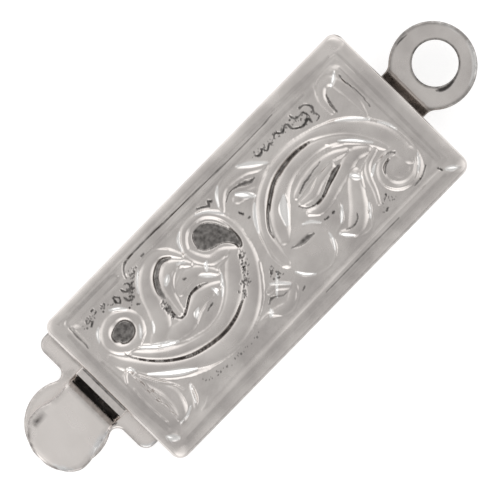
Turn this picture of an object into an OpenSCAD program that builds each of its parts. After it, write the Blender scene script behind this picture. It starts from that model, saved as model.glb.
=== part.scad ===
// A box clasp for a necklace or bracelet: a stamped box with an end ring, and a folded spring tongue
// that slides into the mouth of the box. The origin is the middle of the box's flat back.
// +X runs from the mouth to the end ring, +Y across the box, +Z up out of the stamped face.

/* [Box] */

// Length of the box without its ring
box_len = 16; // [15.5:0.25:17]
// Width of the box
box_w = 7.44; // [7.4:0.02:7.6]
// Height of the box, to the top of the frame round the relief
box_h = 3; // [2.9:0.05:3.3]
// Thickness of the stamped walls
wall_t = 0.25; // [0.22:0.01:0.26]
// Thickness of the back plate, its neck and its ring
plate_t = 0.45; // [0.4:0.05:0.5]
// Radius of the upright corners
corner_r = 0.45; // [0.35:0.05:0.6]
// Width of the frame's outer bevel
bevel_w = 0.34; // [0.25:0.01:0.4]
// Height of the frame's outer bevel
bevel_h = 0.3; // [0.2:0.05:0.4]
// Height of the slot in the mouth that the folded tongue slides through
mouth_h = 0.97; // [0.94:0.01:1.05]

/* [Relief] */

// Depth of the sunk field below the frame
field_depth = 0.4; // [0.35:0.05:0.45]
// Rise of the scrolls, as a share of the tables' values
relief_scale = 1; // [0.6:0.1:1]
// Cells of the relief along the box
relief_cells = 88; // [60:1:90]

/* [Rings] */

// Radius of the hole in both rings
hole_r = 0.9; // [0.8:0.05:1]
// Outer radius of the end ring
ring_r = 1.725; // [1.6:0.025:1.8]
// Outer radius of the tongue's ring
lug_r = 1.67; // [1.6:0.01:1.75]
// Half width of the end ring's neck
neck_half_w = 1.14; // [1:0.02:1.2]

/* [Tongue] */

// Thickness of the strip that the tongue is folded from
strip_t = 0.35; // [0.3:0.01:0.36]
// Gap between the two leaves of the fold
leaf_gap = 0.12; // [0.1:0.01:0.14]
// Running gap between the tongue and the back plate
slide_gap = 0.05; // [0.04:0.01:0.06]
// Length of the tongue inside the box
tongue_len = 14.4; // [12:0.2:15]
// Width of the base plate
base_w = 5.94; // [5.8:0.02:5.96]
// Distance that the base plate's shoulders stand out of the mouth
shoulder_out = 0.66; // [0.5:0.02:0.8]
// Width of the spring leaf inside the box
leaf_w = 4.9; // [4:0.1:5.2]
// Width of the narrow strip that comes out of the mouth
strip_w = 2.4; // [2.2:0.05:2.5]
// Width of the thumb tab
tab_w = 2.9; // [2.7:0.05:3]

/* [Hidden] */

// A hair of overlap between joined shapes, and how far a cutter runs past what it cuts.
eps = 0.01;
over = 1;
mouth_x = -box_len / 2;
end_x = box_len / 2;
half_w = box_w / 2;

// The end ring, whose hole is a little further out than its rim.
ring_x = end_x + 1.7;
ring_y = 0.03;
ring_hole_x = ring_x + 0.13;
neck_fillet_r = 0.49;
neck_root = 0.6;
// The neck climbs clear of the back plate's level just past the end wall.
climb_len = 0.4;
climb_h = plate_t + slide_gap;

// The tongue lies against one long wall of the box, and its thumb tab is a little askew.
tongue_y = half_w - wall_t - slide_gap - base_w / 2;
lug_x = mouth_x - 1.96;
lug_hole_x = lug_x - 0.12;
lug_fillet_r = 0.33;
strip_y = 0.35;
tab_y = 0.2;
base_z = plate_t + slide_gap;
leaf_z = base_z + strip_t + leaf_gap;
leaf_mid_z = leaf_z + strip_t / 2;
fold_r = strip_t + leaf_gap / 2;
fold_x = mouth_x + tongue_len - fold_r;
shoulder_r = 0.45;
catch_set_back = 0.15;
tab_out = 3.68;
tab_len = 1.95;
tab_corner_r = 0.97;
// The base plate narrows to the fold's width over its last stretch.
taper_start = 1.6;
taper_len = 0.8;
// The wall over the slot has a notch that lets the narrow strip spring up.
notch_h = 0.45;
notch_side = 0.15;

// The relief's field, which reaches under the foot of the frame's inner bevel.
frame_w = 0.55;
frame_foot = 0.82;
field_edge = 0.75;
field_z = box_h - field_depth;
roof_t = 0.32;
cavity_top = field_z - roof_t;
relief_base_z = field_z - 0.2;
relief_half_x = box_len / 2 - field_edge;
relief_half_y = half_w - field_edge;
relief_rows = round(relief_cells * relief_half_y / relief_half_x);
// Spread of a ridge's foot past its half width, and how far off a ridge still counts.
skirt = 1.15;
ridge_reach = 2;

// Each ridge of the relief is a row of stations along its crest.
// Columns: x, y, half width, rise above the field.
station_x = 0;
station_y = 1;
station_half_w = 2;
station_rise = 3;
// The big scroll at the mouth end, from its small curl to its large one.
left_scroll = [
    [-6.85, 1.45, 0.28, 0.22], [-6.8, 0.45, 0.3, 0.3], [-6.25, -0.5, 0.38, 0.36],
    [-5.4, -1.3, 0.42, 0.38], [-4.4, -1.75, 0.42, 0.38], [-3.3, -1.85, 0.42, 0.38],
    [-2.2, -1.65, 0.42, 0.38], [-1.3, -1.1, 0.42, 0.36], [-0.65, -0.35, 0.4, 0.34],
    [-0.3, 0.55, 0.34, 0.32], [-0.25, 1.45, 0.3, 0.3], [-0.6, 2.15, 0.3, 0.3],
    [-1.1, 2.4, 0.3, 0.28], [-1.65, 2.3, 0.28, 0.26], [-1.95, 1.8, 0.25, 0.22]
];
// The second band that runs inside it.
left_inner_band = [
    [-6.25, 0.4, 0.2, 0.24], [-5.65, -0.35, 0.3, 0.3], [-4.9, -0.85, 0.32, 0.32],
    [-4, -1.1, 0.32, 0.32], [-3.1, -1.15, 0.32, 0.32], [-2.2, -0.8, 0.34, 0.32],
    [-1.5, -0.25, 0.36, 0.32], [-1, 0.35, 0.36, 0.3], [-1.4, 0.85, 0.3, 0.26],
    [-1.85, 1.2, 0.28, 0.22]
];
// The leaf that rises from the scroll, then its two lobes.
left_petal = [
    [-5.4, 0.45, 0.3, 0.2], [-4.7, 0.45, 0.4, 0.3], [-4.45, 1.35, 0.36, 0.3],
    [-4.05, 2.1, 0.34, 0.32], [-3.45, 2.5, 0.3, 0.32], [-2.85, 2.5, 0.28, 0.28],
    [-2.5, 2.15, 0.22, 0.24]
];
left_low_lobe = [
    [-4.5, -0.1, 0.4, 0.3], [-3.8, -0.15, 0.42, 0.3], [-3.1, 0, 0.4, 0.3],
    [-2.4, 0.15, 0.3, 0.26]
];
left_high_lobe = [
    [-3.65, 0.65, 0.28, 0.26], [-3.4, 1.35, 0.38, 0.3], [-2.9, 1.65, 0.3, 0.28],
    [-2.5, 1.55, 0.22, 0.22]
];
// The leaf in the low corner at the mouth end.
corner_leaf_a = [
    [-7.05, 0.05, 0.2, 0.16], [-7.05, -0.95, 0.28, 0.24], [-7, -2.05, 0.26, 0.2]
];
corner_leaf_b = [
    [-6.65, -0.55, 0.2, 0.2], [-6.3, -1.45, 0.3, 0.24], [-6.5, -2.25, 0.26, 0.2]
];
// The small leaf low in the middle.
low_leaf = [
    [-1.9, -2.25, 0.2, 0.16], [-1.3, -2.2, 0.3, 0.24], [-0.7, -2.3, 0.3, 0.24],
    [-0.1, -1.95, 0.2, 0.16]
];
// The big scroll at the ring end, with its inner band and lobes.
right_scroll = [
    [0.35, -1.15, 0.25, 0.28], [0.4, -0.35, 0.27, 0.32], [0.7, 0.4, 0.28, 0.34],
    [1.3, 1.1, 0.28, 0.34], [2.1, 1.55, 0.25, 0.34], [2.9, 1.75, 0.22, 0.32],
    [3.8, 1.7, 0.22, 0.32], [4.6, 1.35, 0.34, 0.36], [5.4, 0.8, 0.46, 0.38],
    [6.1, 0.05, 0.48, 0.38], [6.45, -0.75, 0.44, 0.36], [6.6, -1.45, 0.36, 0.32],
    [6.4, -2.05, 0.3, 0.3], [5.9, -2.25, 0.28, 0.28], [5.4, -2.05, 0.26, 0.26],
    [5.25, -1.6, 0.24, 0.24]
];
right_inner_band = [
    [1.3, -0.25, 0.45, 0.34], [1.9, 0.45, 0.42, 0.36], [2.6, 0.95, 0.3, 0.34],
    [3.4, 1.1, 0.26, 0.32], [4.2, 1, 0.26, 0.32], [5, 0.65, 0.3, 0.34]
];
right_low_lobe = [
    [2.5, -0.6, 0.3, 0.26], [3.2, -0.65, 0.28, 0.26], [4, -0.4, 0.35, 0.3],
    [4.9, -0.15, 0.38, 0.32], [5.6, -0.45, 0.35, 0.3]
];
right_high_lobe = [
    [2.5, 0.1, 0.25, 0.24], [3.2, 0.25, 0.28, 0.28], [4, 0.35, 0.3, 0.3],
    [4.8, 0.15, 0.3, 0.3]
];
// The leaf and the thin stem that hang from that scroll.
trunk_leaf = [
    [4.5, -0.75, 0.35, 0.3], [4, -1.25, 0.42, 0.32], [3.6, -1.85, 0.45, 0.34],
    [3.2, -2.15, 0.42, 0.32], [2.8, -2, 0.25, 0.24]
];
stem = [
    [5.5, -0.75, 0.16, 0.18], [4.9, -1.25, 0.16, 0.2], [4.6, -1.85, 0.14, 0.16]
];
// The leaf high in the middle and its fold.
top_leaf = [
    [0.25, 2, 0.2, 0.2], [0.6, 2.4, 0.28, 0.26], [1.2, 2.5, 0.3, 0.28],
    [1.8, 2.35, 0.3, 0.28], [2.35, 2.05, 0.2, 0.22]
];
top_leaf_fold = [
    [0.8, 1.75, 0.3, 0.2], [1.3, 1.55, 0.2, 0.16]
];
// The leaf in the high corner at the ring end.
end_leaf = [
    [5.8, 1.55, 0.2, 0.2], [5.8, 2.25, 0.3, 0.24], [6.3, 2.55, 0.34, 0.26],
    [6.7, 2.05, 0.3, 0.26], [6.75, 1.25, 0.2, 0.2], [6.6, 0.55, 0.14, 0.14]
];
ridges = [
    left_scroll, left_inner_band, left_petal, left_low_lobe, left_high_lobe,
    corner_leaf_a, corner_leaf_b, low_leaf, right_scroll, right_inner_band,
    right_low_lobe, right_high_lobe, trunk_leaf, stem, top_leaf, top_leaf_fold, end_leaf
];
// The rounded balls that the scrolls curl round, then the hollow eyes beside them.
// Columns: x, y, half width, rise or depth.
balls = [
    [1.25, -1.55, 1.02, 0.34], [6, -1.8, 0.6, 0.24],
    [-5.95, 1.35, 0.8, 0.26], [-1, 1.35, 0.85, 0.26]
];
eyes = [
    [-5.9, 1.35, 0.44, 0.26], [-1.25, 1.65, 0.42, 0.24],
    [-0.75, 1.25, 0.36, 0.22], [1.4, -1.1, 0.26, 0.12]
];

// The thumb tab's side view: middle of the sheet from the mouth outwards.
// Columns: distance out of the mouth, rise above the leaf inside the box.
tab_profile = [
    [0, 0], [0.36, 0], [0.46, 0.035], [0.54, 0.105], [0.61, 0.21], [0.68, 0.36], [0.75, 0.5],
    [0.84, 0.61], [0.96, 0.68], [1.1, 0.72], [1.25, 0.74], [1.75, 0.74], [1.92, 0.75], [2.15, 0.8],
    [2.5, 0.84], [2.8, 0.84], [3.1, 0.8], [3.35, 0.72], [3.52, 0.62], [3.66, 0.49]
];

function station_mix(a, b, t) = a + (b - a) * t;

// Share of the way along a to b that lies nearest to the point.
function nearest_share(p, a, b) =
    let (ab = [b[0] - a[0], b[1] - a[1]], ap = [p[0] - a[0], p[1] - a[1]])
    max(0, min(1, (ap * ab) / max(ab * ab, eps * eps)));

// Height of a round-topped ridge or ball at a distance from its crest.
function dome(distance, half_width, rise) =
    distance >= skirt * half_width ? 0 : rise * (1 - pow(distance / (skirt * half_width), 2));

function segment_rise(p, a, b) =
    let (
        t = nearest_share(p, a, b),
        s = station_mix(a, b, t)
    )
    dome(norm([p[0] - s[station_x], p[1] - s[station_y]]), s[station_half_w], s[station_rise]);

function near(p, row, reach) = abs(p[0] - row[0]) < reach && abs(p[1] - row[1]) < reach;

function ridge_rise(p, rows) =
    max([0, for (k = [0 : len(rows) - 2])
        if (near(p, rows[k], ridge_reach) || near(p, rows[k + 1], ridge_reach))
            segment_rise(p, rows[k], rows[k + 1])]);

function spots_rise(p, rows) =
    max([0, for (row = rows)
        if (near(p, row, ridge_reach)) dome(norm([p[0] - row[0], p[1] - row[1]]), row[2], row[3])]);

function relief_rise(p) =
    let (
        ridge = max([for (rows = ridges) ridge_rise(p, rows)]),
        ball = spots_rise(p, balls),
        hollow = spots_rise(p, eyes)
    )
    relief_scale * max(0, max(ridge, ball) - hollow);

function relief_point(i, j) =
    let (
        x = relief_half_x * (2 * i / relief_cells - 1),
        y = relief_half_y * (2 * j / relief_rows - 1),
        on_rim = i == 0 || j == 0 || i == relief_cells || j == relief_rows
    )
    [x, y, field_z + (on_rim ? 0 : relief_rise([x, y]))];

// A rectangle with true round corners.
module round_rect(length, width, radius) {
    square([length - 2 * radius, width], center = true);
    square([length, width - 2 * radius], center = true);
    for (sx = [-1, 1], sy = [-1, 1])
        translate([sx * (length / 2 - radius), sy * (width / 2 - radius)])
            circle(r = radius, $fn = 48);
}

// A thin slice of the box's outline, drawn in by an inset.
module outline_slice(inset, z) {
    translate([0, 0, z])
        linear_extrude(height = eps)
            round_rect(box_len - 2 * inset, box_w - 2 * inset, max(corner_r - inset, 0.1));
}

// The block that the box is pressed to: upright walls, then the frame's outer bevel.
module box_blank() {
    linear_extrude(height = box_h - bevel_h)
        round_rect(box_len, box_w, corner_r);
    hull() {
        outline_slice(0, box_h - bevel_h - eps);
        outline_slice(0.3 * bevel_w, box_h - 0.35 * bevel_h);
        outline_slice(bevel_w, box_h - eps);
    }
}

// The sunk field inside the frame, with its sloping inner bevel.
module field_well() {
    hull() {
        translate([0, 0, box_h])
            linear_extrude(height = eps)
                square([box_len - 2 * frame_w, box_w - 2 * frame_w], center = true);
        translate([0, 0, field_z - 0.1])
            linear_extrude(height = eps)
                square([box_len - 2 * frame_foot, box_w - 2 * frame_foot], center = true);
    }
}

// The hollow of the box, and the mouth at its -X end with the notch for the strip.
module hollow() {
    translate([0, 0, plate_t])
        linear_extrude(height = cavity_top - plate_t)
            round_rect(box_len - 2 * wall_t, box_w - 2 * wall_t, corner_r - wall_t);
    translate([mouth_x - over, -half_w + wall_t, plate_t])
        cube([over + 2 * wall_t, box_w - 2 * wall_t, mouth_h]);
    translate([mouth_x - over, strip_y - strip_w / 2 - notch_side, plate_t + mouth_h - eps])
        cube([over + 2 * wall_t, strip_w + 2 * notch_side, notch_h + eps]);
}

// The pressed relief: scrolls and leaves that stand up from the sunk field, as one closed slab.
module relief() {
    row_n = relief_cells + 1;
    top_n = row_n * (relief_rows + 1);
    rim = concat(
        [for (i = [0 : relief_cells - 1]) i],
        [for (j = [0 : relief_rows - 1]) j * row_n + relief_cells],
        [for (i = [relief_cells : -1 : 1]) relief_rows * row_n + i],
        [for (j = [relief_rows : -1 : 1]) j * row_n]
    );
    rim_n = len(rim);
    top = [for (j = [0 : relief_rows], i = [0 : relief_cells]) relief_point(i, j)];
    under = [for (k = rim) [top[k][0], top[k][1], relief_base_z]];
    top_faces = [for (j = [0 : relief_rows - 1], i = [0 : relief_cells - 1]) each [
        [j * row_n + i, (j + 1) * row_n + i, (j + 1) * row_n + i + 1],
        [j * row_n + i, (j + 1) * row_n + i + 1, j * row_n + i + 1]
    ]];
    side_faces = [for (k = [0 : rim_n - 1]) each [
        [rim[k], rim[(k + 1) % rim_n], top_n + (k + 1) % rim_n],
        [rim[k], top_n + (k + 1) % rim_n, top_n + k]
    ]];
    under_faces = [for (k = [0 : rim_n - 1]) [top_n + k, top_n + (k + 1) % rim_n, top_n + rim_n]];
    polyhedron(concat(top, under, [[0, 0, relief_base_z]]), concat(top_faces, side_faces, under_faces));
}

// Plan of a ring on a neck whose sides flare out to the ring with true fillets.
// The neck runs in +X from the ring's middle, and length is measured from there.
module ring_on_neck(radius, length, half_neck, fillet_r, fillet_x) {
    fillet_y = half_neck + fillet_r;
    reach = norm([fillet_x, fillet_y]);
    touch = [fillet_x, fillet_y] * (radius / reach);
    circle(r = radius, $fn = 96);
    difference() {
        polygon([
            [0, -touch[1]], touch - [0, 2 * touch[1]], [fillet_x, -fillet_y], [length, -fillet_y],
            [length, fillet_y], [fillet_x, fillet_y], touch, [0, touch[1]]
        ]);
        for (side = [-1, 1])
            translate([fillet_x, side * fillet_y])
                circle(r = fillet_r, $fn = 64);
        for (side = [-1, 1])
            translate([fillet_x, side * half_neck + (side > 0 ? 0 : -fillet_r)])
                square([length, fillet_r]);
    }
}

// The end ring: its neck climbs from the back plate's level, and it is drilled with a true bore.
module end_ring() {
    fillet_x = sqrt(pow(ring_r + neck_fillet_r, 2) - pow(neck_half_w + neck_fillet_r, 2));
    far_x = ring_x + 2 * ring_r;
    side_view = [
        [end_x - neck_root, 0], [end_x, 0], [end_x + climb_len, climb_h], [far_x, climb_h],
        [far_x, climb_h + plate_t], [end_x + climb_len, climb_h + plate_t],
        [end_x, plate_t], [end_x - neck_root, plate_t]
    ];
    difference() {
        intersection() {
            translate([ring_x, ring_y, -over])
                mirror([1, 0, 0])
                    linear_extrude(height = box_h)
                        ring_on_neck(
                            ring_r, ring_x - end_x + neck_root, neck_half_w, neck_fillet_r, fillet_x
                        );
            translate([0, half_w, 0])
                rotate([90, 0, 0])
                    linear_extrude(height = box_w)
                        polygon(side_view);
        }
        translate([ring_hole_x, ring_y, -over])
            cylinder(r = hole_r, h = box_h, $fn = 96);
    }
}

module box() {
    color("Silver") {
        difference() {
            box_blank();
            hollow();
            field_well();
        }
        relief();
        end_ring();
    }
}

// Plan of the lower leaf: ring lug, shoulders, and the wide plate that tapers in to the fold.
module base_plan() {
    shoulder_x = mouth_x - shoulder_out;
    fillet_x = shoulder_x - lug_fillet_r - lug_x;
    fillet_y = sqrt(pow(lug_r + lug_fillet_r, 2) - pow(fillet_x, 2));
    taper_x = fold_x - taper_start;
    touch = lug_r / (lug_r + lug_fillet_r);
    difference() {
        union() {
            translate([lug_x, tongue_y])
                circle(r = lug_r, $fn = 96);
            translate([lug_x, tongue_y])
                polygon([
                    [0, -fillet_y * touch], [fillet_x * touch, -fillet_y * touch], [fillet_x, -fillet_y],
                    [shoulder_x - lug_x + eps, -fillet_y], [shoulder_x - lug_x + eps, fillet_y],
                    [fillet_x, fillet_y], [fillet_x * touch, fillet_y * touch], [0, fillet_y * touch]
                ]);
            for (side = [-1, 1])
                translate([shoulder_x + shoulder_r, tongue_y + side * (base_w / 2 - shoulder_r)])
                    circle(r = shoulder_r, $fn = 64);
            polygon([
                [shoulder_x, tongue_y - base_w / 2 + shoulder_r],
                [shoulder_x + shoulder_r, tongue_y - base_w / 2],
                [taper_x, tongue_y - base_w / 2], [taper_x + taper_len, tongue_y - leaf_w / 2],
                [fold_x, tongue_y - leaf_w / 2], [fold_x, tongue_y + leaf_w / 2],
                [taper_x + taper_len, tongue_y + leaf_w / 2], [taper_x, tongue_y + base_w / 2],
                [shoulder_x + shoulder_r, tongue_y + base_w / 2],
                [shoulder_x, tongue_y + base_w / 2 - shoulder_r]
            ]);
        }
        for (side = [-1, 1])
            translate([lug_x + fillet_x, tongue_y + side * fillet_y])
                circle(r = lug_fillet_r, $fn = 64);
    }
}

// Plan of the upper leaf: wide spring with its catch shoulders, narrow strip and round thumb tab.
module leaf_plan() {
    catch_x = mouth_x + wall_t + catch_set_back;
    tab_x = mouth_x - tab_out + tab_len / 2;
    translate([catch_x, tongue_y - leaf_w / 2])
        square([fold_x - catch_x, leaf_w]);
    translate([tab_x, strip_y - strip_w / 2])
        square([catch_x - tab_x + eps, strip_w]);
    translate([tab_x, tab_y])
        round_rect(tab_len, tab_w, tab_corner_r);
}

// Side view of the upper leaf, with the sheet's thickness set square to its middle line.
module leaf_side() {
    middle = concat(
        [[fold_x, leaf_mid_z]],
        [for (row = tab_profile) [mouth_x - row[0], leaf_mid_z + row[1]]]
    );
    last = len(middle) - 1;
    function square_to(k) =
        let (
            run = middle[min(k + 1, last)] - middle[max(k - 1, 0)],
            long = norm(run)
        )
        [run[1], -run[0]] * (strip_t / 2 / long);
    polygon(concat(
        [for (k = [0 : last]) middle[k] + square_to(k)],
        [for (k = [last : -1 : 0]) middle[k] - square_to(k)]
    ));
}

module tongue() {
    color("Gainsboro") {
        difference() {
            translate([0, 0, base_z])
                linear_extrude(height = strip_t)
                    base_plan();
            translate([lug_hole_x, tongue_y, -over])
                cylinder(r = hole_r, h = box_h, $fn = 96);
        }
        intersection() {
            linear_extrude(height = box_h)
                leaf_plan();
            translate([0, half_w, 0])
                rotate([90, 0, 0])
                    linear_extrude(height = box_w)
                        leaf_side();
        }
        // The fold that joins the two leaves at the deep end.
        translate([fold_x, tongue_y + leaf_w / 2, base_z + fold_r])
            rotate([90, 0, 0])
                difference() {
                    cylinder(r = fold_r, h = leaf_w, $fn = 64);
                    translate([0, 0, -over])
                        cylinder(r = leaf_gap / 2, h = leaf_w + 2 * over, $fn = 48);
                    translate([-2 * fold_r, -2 * fold_r, -over])
                        cube([2 * fold_r, 4 * fold_r, leaf_w + 2 * over]);
                }
    }
}

box();
tongue();
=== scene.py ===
import math

import bmesh
import bpy
import numpy as np
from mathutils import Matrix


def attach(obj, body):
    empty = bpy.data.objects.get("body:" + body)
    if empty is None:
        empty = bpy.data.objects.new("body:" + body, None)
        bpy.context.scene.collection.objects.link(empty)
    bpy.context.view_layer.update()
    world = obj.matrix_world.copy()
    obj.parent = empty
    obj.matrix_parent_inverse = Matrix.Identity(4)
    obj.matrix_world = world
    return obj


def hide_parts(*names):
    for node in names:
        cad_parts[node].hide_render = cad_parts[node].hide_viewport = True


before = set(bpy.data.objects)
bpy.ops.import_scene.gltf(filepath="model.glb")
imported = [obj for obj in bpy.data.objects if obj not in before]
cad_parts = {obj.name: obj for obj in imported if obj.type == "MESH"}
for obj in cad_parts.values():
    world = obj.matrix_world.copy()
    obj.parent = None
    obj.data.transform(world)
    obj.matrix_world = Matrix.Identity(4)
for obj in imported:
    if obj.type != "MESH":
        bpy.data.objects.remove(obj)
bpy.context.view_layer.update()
print("frame loaded:", sorted(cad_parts))

mm = 0.001


# Small helpers
def meshFrom(name, points, faces):
    mesh = bpy.data.meshes.new(name)
    mesh.from_pydata([tuple(p * mm for p in point) for point in points], [], faces)
    mesh.update()
    piece = bpy.data.objects.new(name, mesh)
    bpy.context.scene.collection.objects.link(piece)
    return piece


def combine(base, tool, operation):
    # both are closed solids, so the fast solver keeps the result closed
    cut = base.modifiers.new("combine", "BOOLEAN")
    cut.operation = operation
    cut.solver = "MANIFOLD"
    cut.object = tool
    view = bpy.context.evaluated_depsgraph_get()
    result = bpy.data.meshes.new_from_object(base.evaluated_get(view))
    base.modifiers.clear()
    base.data = result
    bpy.data.objects.remove(tool)


def smoothStep(value, low, high):
    share = np.clip((value - low) / (high - low), 0, 1)
    return share * share * (3 - 2 * share)


def fadeOut(value, low, high):
    return 1 - smoothStep(value, low, high)


def arcPoints(x, y, radius, startAngle, endAngle, count):
    angles = np.radians(np.linspace(startAngle, endAngle, count))
    return [(x + radius * math.cos(a), y + radius * math.sin(a)) for a in angles]


def gridFaces(across, along):
    # the squares of a grid of points, row by row
    row = across + 1
    return [(j * row + i, j * row + i + 1, (j + 1) * row + i + 1, (j + 1) * row + i)
            for j in range(along) for i in range(across)]


def gridBorder(across, along):
    # the grid's outer points in order, once round
    row = across + 1
    return ([i for i in range(across)] + [j * row + across for j in range(along)]
            + [along * row + i for i in range(across, 0, -1)] + [j * row for j in range(along, 0, -1)])


def joinLoops(first, second):
    n = len(first)
    return [(first[k], second[k], second[(k + 1) % n], first[(k + 1) % n]) for k in range(n)]


def fillIn(table, halfWidth, height):
    # a row that gives only its place takes the table's usual half width and height
    for rows in table.values():
        rows[:] = [row if len(row) > 2 else (*row, halfWidth, height) for row in rows]


# The stamped relief, drawn as strokes
# Stroke points are in mm as the face is read from above: x from the mouth end
# towards the ring, y from one long side (0) to the other (7.44).
faceSize = {
    "length": 16.0, "width": 7.44, "top": 3.0, "cornerRadius": 0.45,
    "shift": 3.75,          # model y of the strokes' y 0
    "highEdge": 0.03,
}
mouthX = -faceSize["length"] / 2     # where the box begins, in the model's x

reliefLook = {
    "groundHeight": 2.77,
    "riseScale": 0.42,
    "blend": 0.06,          # how softly two bands run into each other
    "flatShare": 0.20,      # share of a band's crest that is flat-topped
    "matting": 0.006,       # depth of the punched ground
    "rolling": 0.012,       # slow unevenness of the ground
    "grooveScale": 0.62,
    "beadScale": 0.54,
    "facetScale": 0.85,
    "eyeDepth": 0.09,
}

# How dark each kind of old cut has grown, and how dark the painted shade along the low side's edge and
# slope is, 0 to 1.
tarnishAndLowShade = {
    "cuts": 0.72, "marks": 0.92, "moulding": 0.17, "pits": 0.85, "eyes": 0.78,
    "lowEdge": 0.42, "lowSlope": 0.12,
}

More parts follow.
